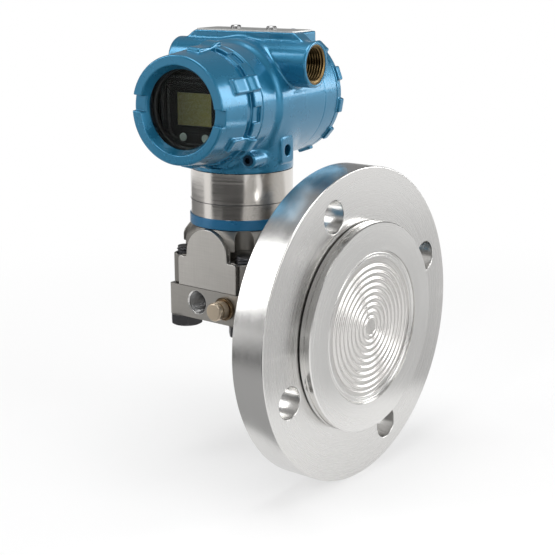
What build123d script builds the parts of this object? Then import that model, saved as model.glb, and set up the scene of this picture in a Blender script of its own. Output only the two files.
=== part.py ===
from build123d import *
from math import cos, pi, radians, sin, sqrt
import os

os.makedirs("parts", exist_ok=True)

# Flange-mounted level transmitter, in millimetres.
# The origin is the centre of the bolt circle on the flange's front face, +X points into the vessel, +Z is up.

# Mounting flange, a loose ring on the seal neck
flange_diameter = 190.5
flange_thickness = 21.8
flange_edge = 1.2
bolt_circle = 152.4
bolt_hole_diameter = 19.05
bolt_hole_count = 4
bolt_hole_start = 22.5
bolt_hole_edge = 0.6
neck_running_gap = 0.05

# Seal: raised disc, recessed foil and the neck behind it
face_diameter = 127.0
face_proud = 8.45
face_gap = 0.8
face_edge = 0.6
rim_groove_width = 1.2
rim_groove_depth = 0.7
rim_groove_back = 3.4
seal_neck_diameter = 50.0
recess_diameter = 93.0
recess_depth = 2.2
oil_gap_inset = 1.6
oil_gap_depth = 1.2
foil_thickness = 0.4
foil_edge_gap = 0.15
weld_ring_thickness = 0.6
weld_ring_width = 4.25
wave_count = 9
wave_margin = 2.4
wave_height = 0.45
wave_centre = 4.6
oil_passage_diameter = 3.0

# Hub that joins the seal to the process block
hub_gap = 0.5
hub_collar_diameter = 60.0
hub_collar_length = 6.0
hub_taper_length = 9.0
hub_diameter = 36.0
hub_straight_length = 10.0
hub_end_diameter = 26.0

# Process block under the sensor module, centred on the neck axis
neck_to_face = 92.1
block_length = 62.0
block_width = 70.0
block_bottom = -6.0
block_height = 20.0
block_corner = 1.5
block_boss_length = 6.0
port_diameter = 13.4
port_mouth = 15.2
port_depth = 16.0
port_height = 4.6
vent_port_offset = -8.1
valve_port_offset = 14.8

# Vent valve
thread_gap = 0.05
seat_collar_diameter = 14.6
seat_collar_length = 2.2
seat_thread_diameter = 9.7
seat_thread_length = 3.5
seat_bore_diameter = 4.4
stem_diameter = 11.3
stem_length = 8.8
stem_gap = 0.3
stem_tip_depth = 3.0
stem_dome = 1.1
stem_cap_length = 3.2
stem_groove_width = 0.9
stem_groove_depth = 0.8

# Bolts that clamp the module to the block
bolt_spacing_x = 48.0
bolt_spacing_y = 54.0
bolt_diameter = 11.1
bolt_gap = 0.2
bolt_head_flats = 15.9
bolt_head_height = 7.0
bolt_head_bevel = 0.9
bolt_end_out = 3.6
bolt_end_bevel = 0.8

# Sensor module casting
ear_height = 20.0
ear_length = 61.0
ear_width = 66.0
ear_corner = 2.5
body_diameter = 74.4
body_flat_width = 65.0
body_top = 52.2
flare_height = 6.4
pocket_diameter = 17.0
pocket_height = 5.0
plate_width = 46.6
plate_height = 19.0
arch_width = 32.6
arch_rise = 37.9
capsule_bore = 52.0
capsule_floor = 6.0
isolator_diameter = 20.0
isolator_depth = 0.8
isolator_spacing = 30.0
seal_ring_bead = 2.4
seal_ring_gap = 0.1

# Neck between module and housing
ring_diameter = 65.6
ring_height = 6.3
ring_wall = 4.0
sleeve_diameter = 64.0
sleeve_wall = 2.8
sleeve_top = 86.7
band_thickness = 0.5
band_bottom = 67.9
spigot_diameter = 56.0
spigot_wall = 3.0
spigot_height = 7.8

# Sensor capsule and its board
capsule_diameter = 48.0
capsule_height = 15.0
capsule_cap_diameter = 34.0
capsule_cap_height = 4.0
board_diameter = 54.0
board_thickness = 1.6
board_height = 63.0
post_diameter = 5.0
post_circle = 42.0
header_length = 22.0
header_width = 7.0
header_height = 8.0

# Housing barrel; forward distances run from the neck axis towards the window
housing_turn = 6.7
pedestal_rise = 2.75
turn_gap = 0.1
collar_front = 31.2
collar_diameter = 70.8
collar_length = 14.0
collar_blend = 4.5
barrel_front_diameter = 74.6
barrel_rear_diameter = 77.4
barrel_rear = 52.6
pedestal_diameter = 64.4
pedestal_edge = 1.0
front_bore_diameter = 63.4
front_bore_depth = 12.2
front_room_diameter = 62.0
partition_front = 10.0
partition_thickness = 5.0
rear_bore_diameter = 66.4
rear_bore_depth = 12.6
rear_room_diameter = 63.0
spigot_bore_top_gap = 0.3
wire_hole_diameter = 12.0
wire_hole_forward = 17.0
feed_hole_diameter = 6.0
feed_hole_height = 14.0

# Conduit bosses and the bridge between them
boss_diameter = 27.7
boss_half_span = 49.7
boss_back = 5.9
boss_height = 22.9
conduit_thread_diameter = 21.2
conduit_inner_span = 18.0
bridge_rise = 2.5
bridge_half_width = 35.5
bridge_edge = 0.8
bridge_foot = 8.0
bridge_front = -2.0
bridge_rear = -30.0
cap_half_width = 44.0
cap_slope = 6.5
cap_drop = 5.0
cap_depth = 15.0
conduit_thread_length = 18.2
conduit_core_diameter = 19.2
plug_gap = 0.1
plug_length = 15.0
plug_set_back = 1.0
plug_socket_flats = 9.5
plug_socket_depth = 7.0

# Lock screws of the two covers, ground hole and set screw
lock_boss_diameter = 10.0
lock_boss_length = 21.0
lock_boss_angle = -53.4
rear_lock_angle = -126.6
lock_boss_out = 4.6
lock_hole_diameter = 7.0
lock_screw_diameter = 6.6
lock_screw_length = 12.0
lock_screw_set_back = 2.5
lock_socket_flats = 3.5
lock_socket_depth = 3.0
ground_pad_width = 14.0
ground_pad_height = 15.5
ground_pad_out = 33.4
ground_pad_centre = -28.8
ground_hole_diameter = 6.8
ground_hole_depth = 9.0
set_screw_diameter = 5.0
set_screw_rise = 3.8

# Name plate on the bridge
plate_length = 70.0
plate_depth = 24.0
plate_thickness = 0.9
plate_back = 14.5
plate_round = 2.0
plate_screw_spacing = 26.0
plate_screw_diameter = 3.6
plate_head_diameter = 6.4
plate_head_height = 2.0
plate_screw_length = 6.0

# Covers
cover_gap = 0.2
cover_collar_length = 8.2
cover_skirt_gap = 0.3
cover_skirt_length = 10.6
cover_seal_bead = 2.2
cover_seal_gap = 0.15
tooth_count = 12
tooth_width = 9.2
tooth_round = 0.7
window_front = 68.6
window_rim_diameter = 63.4
window_rim_edge = 0.9
cone_rear_diameter = 68.2
groove_length = 5.4
groove_diameter = 65.2
grip_count = 6
grip_start = 24.5
grip_front = 56.0
grip_rear = 33.4
grip_rise = 2.6
grip_top_front = 37.5
grip_ramp_front = 43.5
pocket_start = -5.5
pocket_floor_diameter = 67.4
notch_width = 9.2
notch_depth = 3.6
notch_inset = 4.4
bevel_outer = 52.0
bevel_depth = 6.2
window_diameter = 46.2
glass_diameter = 51.4
glass_thickness = 5.8
glass_gap = 0.1
retainer_wall = 2.6
retainer_height = 3.2
cover_inner_diameter = 55.6
rear_collar_length = 4.7
rear_cone_length = 4.6
rear_face_length = 3.9
rear_cone_diameter = 70.0
rear_face_diameter = 67.0
rear_wall = 4.5
rear_inner_diameter = 59.0
rear_tooth_reach = 1.6
rear_tooth_length = 5.0
rear_tooth_start = 20.0

# Electronics and display behind the window
module_gap = 0.2
electronics_diameter = 59.0
electronics_height = 9.3
stack_diameter = 53.6
electronics_top = 28.0
case_top = 48.5
bezel_diameter = 52.8
bezel_thickness = 1.5
lcd_width = 24.0
lcd_height = 19.0
lcd_drop = 1.1
lcd_thickness = 1.0
lcd_gap = 0.2
frame_width = 2.2
frame_rise = 0.9
button_diameter = 4.8
button_gap = 0.1
button_spacing = 15.7
button_drop = 17.6
button_rise = 0.8
button_travel = 0.6
button_length = 5.0
rib_count = 5
rib_pitch = 1.7
rib_length = 8.0
rib_width = 0.7

# Terminal block behind the partition
terminal_width = 44.0
terminal_height = 26.0
terminal_depth = 16.0
terminal_drop = 11.0
terminal_count = 3
terminal_pitch = 13.0
pocket_width = 10.4
terminal_pocket_depth = 6.0
terminal_screw_diameter = 7.0
terminal_screw_height = 3.0
terminal_slot_width = 1.2
terminal_slot_depth = 1.0

# Values worked out from the sizes above
neck_x = -neck_to_face
block_top = block_bottom + block_height
ear_top = block_top + ear_height
hub_front = -(flange_thickness + hub_gap)
hub_rear = neck_x + block_length / 2
ring_top = body_top + ring_height
foil_diameter = recess_diameter - 2 * foil_edge_gap
weld_ring_inner = foil_diameter - 2 * weld_ring_width
oil_gap_diameter = weld_ring_inner - 2 * oil_gap_inset
wave_pitch = (weld_ring_inner / 2 - wave_margin - wave_centre) / wave_count
housing_base = sleeve_top + turn_gap
barrel_reach = max(barrel_front_diameter, barrel_rear_diameter) / 2
barrel_height = housing_base + pedestal_rise + barrel_reach
bridge_top = barrel_reach + bridge_rise
set_screw_height = housing_base + set_screw_rise
spigot_bore_diameter = spigot_diameter + 2 * neck_running_gap
pitch_turn = radians(housing_turn)
toward_window = Vector(sin(pitch_turn), -cos(pitch_turn), 0)
toward_right = Vector(cos(pitch_turn), sin(pitch_turn), 0)
barrel_centre = Vector(neck_x, 0, barrel_height)

# Planes: height is measured on "level", forward on "barrel", and to the right on "flank"
level = Plane(origin=(neck_x, 0, 0))
neck_section = Plane(origin=(neck_x, 0, 0), x_dir=(1, 0, 0), z_dir=(0, -1, 0))
barrel = Plane(origin=barrel_centre, x_dir=toward_right, z_dir=toward_window)
barrel_section = Plane(origin=barrel_centre, x_dir=toward_window, z_dir=-toward_right)
flank = Plane(origin=barrel_centre, x_dir=-toward_window, z_dir=toward_right)
neck_axis = Axis((neck_x, 0, 0), (0, 0, 1))
barrel_axis = Axis(barrel_centre, toward_window)
housing_level = Plane(origin=(neck_x, 0, 0), x_dir=toward_right, z_dir=(0, 0, 1))

bolt_places = [
    (side_x * bolt_spacing_x / 2, side_y * bolt_spacing_y / 2) for side_x in (-1, 1) for side_y in (-1, 1)
]

# Mounting flange
with BuildPart() as mounting_flange:
    with BuildSketch(Plane.YZ):
        Circle(flange_diameter / 2)
        Circle(seal_neck_diameter / 2 + neck_running_gap, mode=Mode.SUBTRACT)
        with PolarLocations(bolt_circle / 2, bolt_hole_count, start_angle=bolt_hole_start):
            Circle(bolt_hole_diameter / 2, mode=Mode.SUBTRACT)
    extrude(amount=-flange_thickness)
    hole_edges = mounting_flange.edges().filter_by(GeomType.CIRCLE).group_by(SortBy.RADIUS)[0]
    chamfer(hole_edges.group_by(Axis.X)[0], bolt_hole_edge)
    rim_edges = mounting_flange.edges().filter_by(GeomType.CIRCLE).group_by(SortBy.RADIUS)[-1]
    fillet(rim_edges, flange_edge)

# Seal body: disc, foil recess and neck in one turned piece
recess_floor = face_proud - recess_depth
with BuildPart() as seal_body:
    with BuildSketch(Plane.XZ):
        with BuildLine():
            Polyline(
                (hub_front, 0),
                (hub_front, seal_neck_diameter / 2),
                (face_gap, seal_neck_diameter / 2),
                (face_gap, face_diameter / 2 - face_edge),
                (face_gap + face_edge, face_diameter / 2),
                (face_proud - rim_groove_back - rim_groove_width, face_diameter / 2),
                (face_proud - rim_groove_back - rim_groove_width, face_diameter / 2 - rim_groove_depth),
                (face_proud - rim_groove_back, face_diameter / 2 - rim_groove_depth),
                (face_proud - rim_groove_back, face_diameter / 2),
                (face_proud - face_edge, face_diameter / 2),
                (face_proud, face_diameter / 2 - face_edge),
                (face_proud, recess_diameter / 2),
                (recess_floor, recess_diameter / 2),
                (recess_floor, oil_gap_diameter / 2),
                (recess_floor - oil_gap_depth, oil_gap_diameter / 2),
                (recess_floor - oil_gap_depth, 0),
                close=True,
            )
        make_face()
    revolve(axis=Axis.X)
    with BuildSketch(Plane.YZ.offset(hub_front)):
        Circle(oil_passage_diameter / 2)
    extrude(amount=recess_floor - hub_front, mode=Mode.SUBTRACT)

# Diaphragm: a foil with concentric waves, the same wave on both of its sides
half_wave = wave_pitch / 2
with BuildPart() as diaphragm:
    with BuildSketch(Plane.XZ):
        with BuildLine():
            for side in (0, foil_thickness):
                Line((recess_floor + side, 0), (recess_floor + side, wave_centre))
                for step in range(2 * wave_count):
                    start = wave_centre + step * half_wave
                    bulge = wave_height if step % 2 else -wave_height
                    SagittaArc(
                        (recess_floor + side, start), (recess_floor + side, start + half_wave), bulge
                    )
                waves_end = wave_centre + 2 * wave_count * half_wave
                Line((recess_floor + side, waves_end), (recess_floor + side, foil_diameter / 2))
            Line((recess_floor, 0), (recess_floor + foil_thickness, 0))
            Line((recess_floor, foil_diameter / 2), (recess_floor + foil_thickness, foil_diameter / 2))
        make_face()
    revolve(axis=Axis.X)

# Weld ring that holds the foil's edge
with BuildPart() as weld_ring:
    with BuildSketch(Plane.YZ.offset(recess_floor + foil_thickness)):
        Circle(foil_diameter / 2)
        Circle(weld_ring_inner / 2, mode=Mode.SUBTRACT)
    extrude(amount=weld_ring_thickness)

# Hub between the seal neck and the process block
with BuildPart() as seal_hub:
    collar_end = hub_front - hub_collar_length
    with BuildSketch(Plane.XZ):
        with BuildLine():
            Polyline(
                (hub_front, 0),
                (hub_front, hub_collar_diameter / 2),
                (collar_end, hub_collar_diameter / 2),
                (collar_end - hub_taper_length, hub_diameter / 2),
                (collar_end - hub_taper_length - hub_straight_length, hub_diameter / 2),
                (hub_rear + block_boss_length, hub_end_diameter / 2),
                (hub_rear + block_boss_length, 0),
                close=True,
            )
        make_face()
    revolve(axis=Axis.X)
    with BuildSketch(Plane.YZ.offset(hub_rear + block_boss_length)):
        Circle(oil_passage_diameter / 2)
    extrude(amount=hub_front - hub_rear - block_boss_length, mode=Mode.SUBTRACT)

# Process block with its hub boss, ports and bolt holes
front_face = Plane(origin=(neck_x, -block_width / 2, port_height), x_dir=(1, 0, 0), z_dir=(0, -1, 0))
with BuildPart() as process_block:
    with BuildSketch(Plane.YZ.offset(hub_rear - block_boss_length)):
        Circle(hub_end_diameter / 2)
    extrude(amount=2 * block_boss_length)
    with BuildSketch(level.offset(block_bottom)):
        RectangleRounded(block_length, block_width, block_corner)
    extrude(amount=block_height)
    with BuildSketch(level.offset(block_bottom)):
        with Locations(*bolt_places):
            Circle(bolt_diameter / 2 + bolt_gap)
    extrude(amount=block_height, mode=Mode.SUBTRACT)
    with BuildSketch(level.offset(block_top)):
        with GridLocations(isolator_spacing, 0, 2, 1):
            Circle(isolator_diameter / 2)
            Circle(isolator_diameter / 2 - seal_ring_bead - 2 * seal_ring_gap, mode=Mode.SUBTRACT)
    extrude(amount=-seal_ring_bead, mode=Mode.SUBTRACT)
    with Locations(front_face):
        with Locations((vent_port_offset, 0)):
            CounterSinkHole(port_diameter / 2, port_mouth / 2, depth=port_depth)
        with Locations((valve_port_offset, 0)):
            CounterBoreHole(
                seat_bore_diameter / 2, seat_thread_diameter / 2 + thread_gap, seat_thread_length, port_depth
            )
    with BuildSketch(Plane.YZ.offset(neck_x + isolator_spacing / 2)):
        Circle(oil_passage_diameter / 2)
    extrude(amount=block_length / 2 + block_boss_length - isolator_spacing / 2, mode=Mode.SUBTRACT)
    with BuildSketch(level):
        with Locations((isolator_spacing / 2, 0)):
            Circle(oil_passage_diameter / 2)
    extrude(amount=block_top, mode=Mode.SUBTRACT)

# Soft seal rings between block and module
with BuildPart() as process_seal_rings:
    bead_circle = isolator_diameter / 2 - seal_ring_gap - seal_ring_bead / 2
    with BuildSketch(level.offset(block_top - seal_ring_bead)):
        with GridLocations(isolator_spacing, 0, 2, 1):
            Circle(bead_circle + seal_ring_bead / 2)
            Circle(bead_circle - seal_ring_bead / 2, mode=Mode.SUBTRACT)
    extrude(amount=seal_ring_bead)

# Vent valve: threaded seat and the stem that turns in it
valve_face = Plane(
    origin=(neck_x + valve_port_offset, -block_width / 2, port_height), x_dir=(1, 0, 0), z_dir=(0, -1, 0)
)
with BuildPart() as vent_valve_seat:
    with BuildSketch(valve_face.offset(-seat_thread_length)):
        Circle(seat_thread_diameter / 2)
    extrude(amount=seat_thread_length)
    with BuildSketch(valve_face):
        Circle(seat_collar_diameter / 2)
    extrude(amount=seat_collar_length)
    collar_rim = vent_valve_seat.edges().filter_by(GeomType.CIRCLE).sort_by(Axis.Y)[0]
    chamfer(collar_rim, stem_dome / 2)
    with BuildSketch(valve_face.offset(seat_collar_length)):
        Circle(seat_bore_diameter / 2)
    extrude(amount=-stem_tip_depth - seat_collar_length - stem_gap, mode=Mode.SUBTRACT)

with BuildPart() as vent_valve_stem:
    stem_start = seat_collar_length + stem_gap
    with BuildSketch(valve_face.offset(-stem_tip_depth)):
        Circle(seat_bore_diameter / 2 - neck_running_gap)
    extrude(amount=stem_tip_depth + stem_start)
    with BuildSketch(valve_face.offset(stem_start)):
        Circle(stem_diameter / 2)
    extrude(amount=stem_length)
    dome_edge = vent_valve_stem.edges().filter_by(GeomType.CIRCLE).sort_by(Axis.Y)[0]
    fillet(dome_edge, stem_dome)
    with BuildSketch(valve_face.offset(stem_start + stem_length - stem_cap_length)):
        Circle(stem_diameter / 2 + 1)
        Circle(stem_diameter / 2 - stem_groove_depth, mode=Mode.SUBTRACT)
    extrude(amount=-stem_groove_width, mode=Mode.SUBTRACT)

# Four bolts from below the block up through the ears
with BuildPart() as flange_bolts:
    with BuildSketch(level.offset(block_bottom)):
        with Locations(*bolt_places):
            Circle(bolt_diameter / 2)
    extrude(amount=block_height + ear_height + bolt_end_out)
    shank_ends = flange_bolts.edges().filter_by(GeomType.CIRCLE).group_by(Axis.Z)[-1]
    chamfer(shank_ends, bolt_end_bevel)
    with BuildSketch(level.offset(block_bottom)):
        with Locations(*bolt_places):
            RegularPolygon(bolt_head_flats / 2, 6, major_radius=False, rotation=15)
    extrude(amount=-bolt_head_height)
    with BuildSketch(level.offset(block_bottom - bolt_head_height)):
        with Locations(*bolt_places):
            Circle(bolt_head_flats / 2 + bolt_head_bevel)
    head_cut = extrude(amount=bolt_head_height + block_height + ear_height + bolt_end_out, mode=Mode.INTERSECT)

# Sensor module casting: round body with milled flats, bolt ears and arched plates
body_radius = body_diameter / 2
with BuildPart() as sensor_module:
    with BuildSketch(neck_section):
        with BuildLine():
            Polyline(
                (0, block_top),
                (body_radius, block_top),
                (body_radius, body_top - flare_height),
                (sleeve_diameter / 2, body_top),
                (0, body_top),
                close=True,
            )
        make_face()
    revolve(axis=neck_axis)
    with BuildSketch(level.offset(block_top)):
        Rectangle(ear_length, body_flat_width)
    extrude(amount=body_top - block_top, mode=Mode.INTERSECT)
    with BuildSketch(level.offset(block_top)):
        RectangleRounded(ear_length, ear_width, ear_corner)
    extrude(amount=ear_height)
    for side in (-1, 1):
        plate_face = Plane(origin=(neck_x, side * block_width / 2, 0), x_dir=(side, 0, 0), z_dir=(0, side, 0))
        if plate_face.y_dir.Z < 0:
            plate_face = Plane(origin=plate_face.origin, x_dir=-plate_face.x_dir, z_dir=plate_face.z_dir)
        with BuildSketch(plate_face):
            with Locations((0, block_top + plate_height / 2)):
                Rectangle(plate_width, plate_height)
            with Locations((0, block_top + (arch_rise - arch_width / 2) / 2)):
                Rectangle(arch_width, arch_rise - arch_width / 2)
            with Locations((0, block_top + arch_rise - arch_width / 2)):
                Circle(arch_width / 2)
        extrude(amount=-(block_width - body_flat_width) / 2)
    with BuildSketch(level.offset(ear_top)):
        with Locations(*bolt_places):
            Circle(pocket_diameter / 2)
    extrude(amount=pocket_height, mode=Mode.SUBTRACT)
    with BuildSketch(level.offset(block_top)):
        with Locations(*bolt_places):
            Circle(bolt_diameter / 2 + bolt_gap)
    extrude(amount=ear_height, mode=Mode.SUBTRACT)
    with BuildSketch(level.offset(block_top + capsule_floor)):
        Circle(capsule_bore / 2)
    extrude(amount=body_top - block_top - capsule_floor, mode=Mode.SUBTRACT)
    with BuildSketch(level.offset(block_top)):
        with GridLocations(isolator_spacing, 0, 2, 1):
            Circle(isolator_diameter / 2 - seal_ring_bead - 2 * seal_ring_gap)
    extrude(amount=isolator_depth, mode=Mode.SUBTRACT)
    with BuildSketch(level.offset(block_top)):
        with GridLocations(isolator_spacing, 0, 2, 1):
            Circle(oil_passage_diameter / 2)
    extrude(amount=capsule_floor, mode=Mode.SUBTRACT)

# Sensor capsule in the module
with BuildPart() as sensor_capsule:
    with BuildSketch(level.offset(block_top + capsule_floor)):
        Circle(capsule_diameter / 2)
    extrude(amount=capsule_height)
    with BuildSketch(level.offset(block_top + capsule_floor + capsule_height)):
        Circle(capsule_cap_diameter / 2)
    extrude(amount=capsule_cap_height)
    chamfer(sensor_capsule.edges().filter_by(GeomType.CIRCLE).group_by(Axis.Z)[-1], 1)

# Painted ring under the neck sleeve
with BuildPart() as module_ring:
    with BuildSketch(level.offset(body_top)):
        Circle(ring_diameter / 2)
        Circle(ring_diameter / 2 - ring_wall, mode=Mode.SUBTRACT)
    extrude(amount=ring_height)
    ring_edges = module_ring.edges().filter_by(GeomType.CIRCLE).group_by(SortBy.RADIUS)[-1]
    fillet(ring_edges, band_thickness)

# Neck sleeve with the spigot that the housing turns on
with BuildPart() as neck_sleeve:
    with BuildSketch(neck_section):
        inner = sleeve_diameter / 2 - sleeve_wall
        with BuildLine():
            Polyline(
                (inner, ring_top),
                (sleeve_diameter / 2, ring_top),
                (sleeve_diameter / 2, band_bottom),
                (sleeve_diameter / 2 - band_thickness, band_bottom),
                (sleeve_diameter / 2 - band_thickness, sleeve_top),
                (spigot_diameter / 2, sleeve_top),
                (spigot_diameter / 2, sleeve_top + spigot_height),
                (spigot_diameter / 2 - spigot_wall, sleeve_top + spigot_height),
                (spigot_diameter / 2 - spigot_wall, sleeve_top - sleeve_wall),
                (inner, sleeve_top - sleeve_wall),
                close=True,
            )
        make_face()
    revolve(axis=neck_axis)

# Band wrapped round the upper part of the sleeve
with BuildPart() as label_band:
    with BuildSketch(level.offset(band_bottom)):
        Circle(sleeve_diameter / 2)
        Circle(sleeve_diameter / 2 - band_thickness, mode=Mode.SUBTRACT)
    extrude(amount=sleeve_top - band_bottom)

# Sensor board on three posts, with its plug header
with BuildPart() as sensor_board:
    with BuildSketch(level.offset(board_height)):
        Circle(board_diameter / 2)
    extrude(amount=board_thickness)
    post_foot = block_top + capsule_floor + capsule_height
    with BuildSketch(level.offset(post_foot)):
        with PolarLocations(post_circle / 2, 3):
            Circle(post_diameter / 2)
    extrude(amount=board_height - post_foot)
    with BuildSketch(level.offset(board_height + board_thickness)):
        Rectangle(header_length, header_width)
    extrude(amount=header_height)

# Housing casting
barrel_wall_front = collar_front - collar_length
lock_radius_front = collar_diameter / 2 + lock_boss_out
lock_radius_rear = barrel_rear_diameter / 2 + lock_boss_out - 1
lock_front_start = collar_front + cover_gap + 1.6
lock_rear_start = -(barrel_rear + cover_gap - 1.4)
boss_place = (boss_back, boss_height)


def spoke(radius, angle):
    """Point at a radius and an angle on the barrel's face."""
    return (radius * cos(radians(angle)), radius * sin(radians(angle)))


with BuildPart() as housing:
    with BuildSketch(barrel.offset(bridge_rear)):
        with Locations((0, (bridge_top + bridge_foot) / 2)):
            Rectangle(2 * bridge_half_width, bridge_top - bridge_foot)
    extrude(amount=bridge_front - bridge_rear)
    bridge_uprights = housing.edges().filter_by(barrel_axis)
    chamfer(bridge_uprights.group_by(Axis.Z)[-1], bridge_edge)
    with BuildSketch(barrel.offset(-boss_back - cap_depth / 2)):
        with BuildLine():
            Polyline(
                (-cap_half_width, boss_height),
                (-cap_half_width, bridge_top - cap_drop),
                (-cap_half_width + cap_slope, bridge_top),
                (cap_half_width - cap_slope, bridge_top),
                (cap_half_width, bridge_top - cap_drop),
                (cap_half_width, boss_height),
                close=True,
            )
        make_face()
    extrude(amount=bridge_front + boss_back + cap_depth / 2)
    with BuildSketch(barrel_section):
        with BuildLine():
            blend_start = (barrel_wall_front, collar_diameter / 2)
            blend_end = (barrel_wall_front - collar_blend, barrel_front_diameter / 2)
            Line((collar_front, 0), (collar_front, collar_diameter / 2))
            Line((collar_front, collar_diameter / 2), blend_start)
            Line(blend_start, blend_end)
            Line(blend_end, (-barrel_rear, barrel_rear_diameter / 2))
            Line((-barrel_rear, barrel_rear_diameter / 2), (-barrel_rear, 0))
            Line((-barrel_rear, 0), (collar_front, 0))
        make_face()
    revolve(axis=barrel_axis)
    with BuildSketch(housing_level.offset(housing_base)):
        Circle(pedestal_diameter / 2)
    extrude(amount=barrel_height - housing_base)
    foot_edge = housing.edges().filter_by(GeomType.CIRCLE).group_by(Axis.Z)[0]
    chamfer(foot_edge, pedestal_edge)
    with BuildSketch(barrel.offset(collar_front)):
        Circle(collar_diameter / 2 + grip_rise + cover_gap)
    extrude(amount=pedestal_diameter / 2, mode=Mode.SUBTRACT)
    with BuildSketch(flank.offset(-boss_half_span)):
        with Locations(boss_place):
            Circle(boss_diameter / 2)
    extrude(amount=2 * boss_half_span)
    with BuildSketch(barrel.offset(lock_front_start - lock_boss_length)):
        with Locations(spoke(lock_radius_front, lock_boss_angle)):
            Circle(lock_boss_diameter / 2)
        with Locations(Location(spoke(lock_radius_front - lock_boss_out, lock_boss_angle), lock_boss_angle)):
            Rectangle(2 * lock_boss_out, 0.8 * lock_boss_diameter)
    extrude(amount=lock_boss_length - 3)
    with BuildSketch(barrel.offset(lock_rear_start)):
        with Locations(spoke(lock_radius_rear, rear_lock_angle)):
            Circle(lock_boss_diameter / 2)
        with Locations(Location(spoke(lock_radius_rear - lock_boss_out, rear_lock_angle), rear_lock_angle)):
            Rectangle(2 * lock_boss_out, 0.8 * lock_boss_diameter)
    extrude(amount=lock_boss_length)
    with BuildSketch(flank):
        with Locations((0, ground_pad_centre)):
            RectangleRounded(ground_pad_width, ground_pad_height, 1.2)
    extrude(amount=ground_pad_out)
    with BuildSketch(barrel.offset(partition_front)):
        Circle(front_room_diameter / 2)
    extrude(amount=collar_front - partition_front, mode=Mode.SUBTRACT)
    with BuildSketch(barrel.offset(collar_front)):
        Circle(front_bore_diameter / 2)
    extrude(amount=-front_bore_depth, mode=Mode.SUBTRACT)
    with BuildSketch(barrel.offset(-barrel_rear)):
        Circle(rear_room_diameter / 2)
    extrude(amount=barrel_rear + partition_front - partition_thickness, mode=Mode.SUBTRACT)
    with BuildSketch(barrel.offset(-barrel_rear)):
        Circle(rear_bore_diameter / 2)
    extrude(amount=rear_bore_depth, mode=Mode.SUBTRACT)
    for side in (-1, 1):
        with BuildSketch(flank.offset(side * boss_half_span)):
            with Locations(boss_place):
                Circle(conduit_thread_diameter / 2)
        extrude(amount=-side * conduit_thread_length, mode=Mode.SUBTRACT)
        with BuildSketch(flank.offset(side * boss_half_span)):
            with Locations(boss_place):
                Circle(conduit_core_diameter / 2)
        extrude(amount=-side * (boss_half_span - conduit_inner_span), mode=Mode.SUBTRACT)
    with BuildSketch(housing_level.offset(housing_base)):
        Circle(spigot_bore_diameter / 2)
    extrude(amount=spigot_height + spigot_bore_top_gap, mode=Mode.SUBTRACT)
    with BuildSketch(housing_level.offset(housing_base)):
        with Locations((0, -wire_hole_forward)):
            Circle(wire_hole_diameter / 2)
    extrude(amount=barrel_height - front_room_diameter / 3 - housing_base, mode=Mode.SUBTRACT)
    with BuildSketch(barrel.offset(partition_front)):
        with Locations((0, feed_hole_height)):
            Circle(feed_hole_diameter / 2)
    extrude(amount=-partition_thickness, mode=Mode.SUBTRACT)
    with BuildSketch(barrel.offset(lock_front_start)):
        with Locations(spoke(lock_radius_front, lock_boss_angle)):
            Circle(lock_hole_diameter / 2)
    extrude(amount=-(lock_screw_set_back + lock_screw_length), mode=Mode.SUBTRACT)
    with BuildSketch(barrel.offset(lock_rear_start)):
        with Locations(spoke(lock_radius_rear, rear_lock_angle)):
            Circle(lock_hole_diameter / 2)
    extrude(amount=lock_screw_set_back + lock_screw_length, mode=Mode.SUBTRACT)
    with BuildSketch(flank.offset(ground_pad_out)):
        with Locations((0, ground_pad_centre)):
            Circle(ground_hole_diameter / 2)
    extrude(amount=-ground_hole_depth, mode=Mode.SUBTRACT)
    with BuildSketch(flank.offset(-pedestal_diameter / 2 - 1)):
        with Locations((0, set_screw_height - barrel_height)):
            Circle(set_screw_diameter / 2 + thread_gap)
    extrude(amount=(pedestal_diameter - spigot_diameter) / 2 + 1, mode=Mode.SUBTRACT)
    with BuildSketch(housing_level.offset(barrel_height + bridge_top)):
        with Locations((-plate_screw_spacing / 2, plate_back), (plate_screw_spacing / 2, plate_back)):
            Circle(plate_screw_diameter / 2 + thread_gap)
    extrude(amount=-plate_screw_length, mode=Mode.SUBTRACT)

# Name plate and its two screws
with BuildPart() as name_plate:
    with BuildSketch(housing_level.offset(barrel_height + bridge_top)):
        with Locations((0, plate_back)):
            RectangleRounded(plate_length, plate_depth, plate_round)
        with Locations((-plate_screw_spacing / 2, plate_back), (plate_screw_spacing / 2, plate_back)):
            Circle(plate_screw_diameter / 2 + thread_gap, mode=Mode.SUBTRACT)
    extrude(amount=plate_thickness)

with BuildPart() as name_plate_screws:
    plate_top = barrel_height + bridge_top + plate_thickness
    with BuildSketch(housing_level.offset(plate_top)):
        with Locations((-plate_screw_spacing / 2, plate_back), (plate_screw_spacing / 2, plate_back)):
            Circle(plate_screw_diameter / 2)
    extrude(amount=-plate_thickness - plate_screw_length + 1)
    with BuildSketch(housing_level.offset(plate_top)):
        with Locations((-plate_screw_spacing / 2, plate_back), (plate_screw_spacing / 2, plate_back)):
            Circle(plate_head_diameter / 2)
    extrude(amount=plate_head_height)
    chamfer(name_plate_screws.edges().filter_by(GeomType.CIRCLE).group_by(Axis.Z)[-1], 0.6)
    with BuildSketch(housing_level.offset(plate_top + plate_head_height)):
        with Locations((-plate_screw_spacing / 2, plate_back), (plate_screw_spacing / 2, plate_back)):
            Rectangle(plate_head_diameter, 1)
    extrude(amount=-1, mode=Mode.SUBTRACT)

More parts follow.
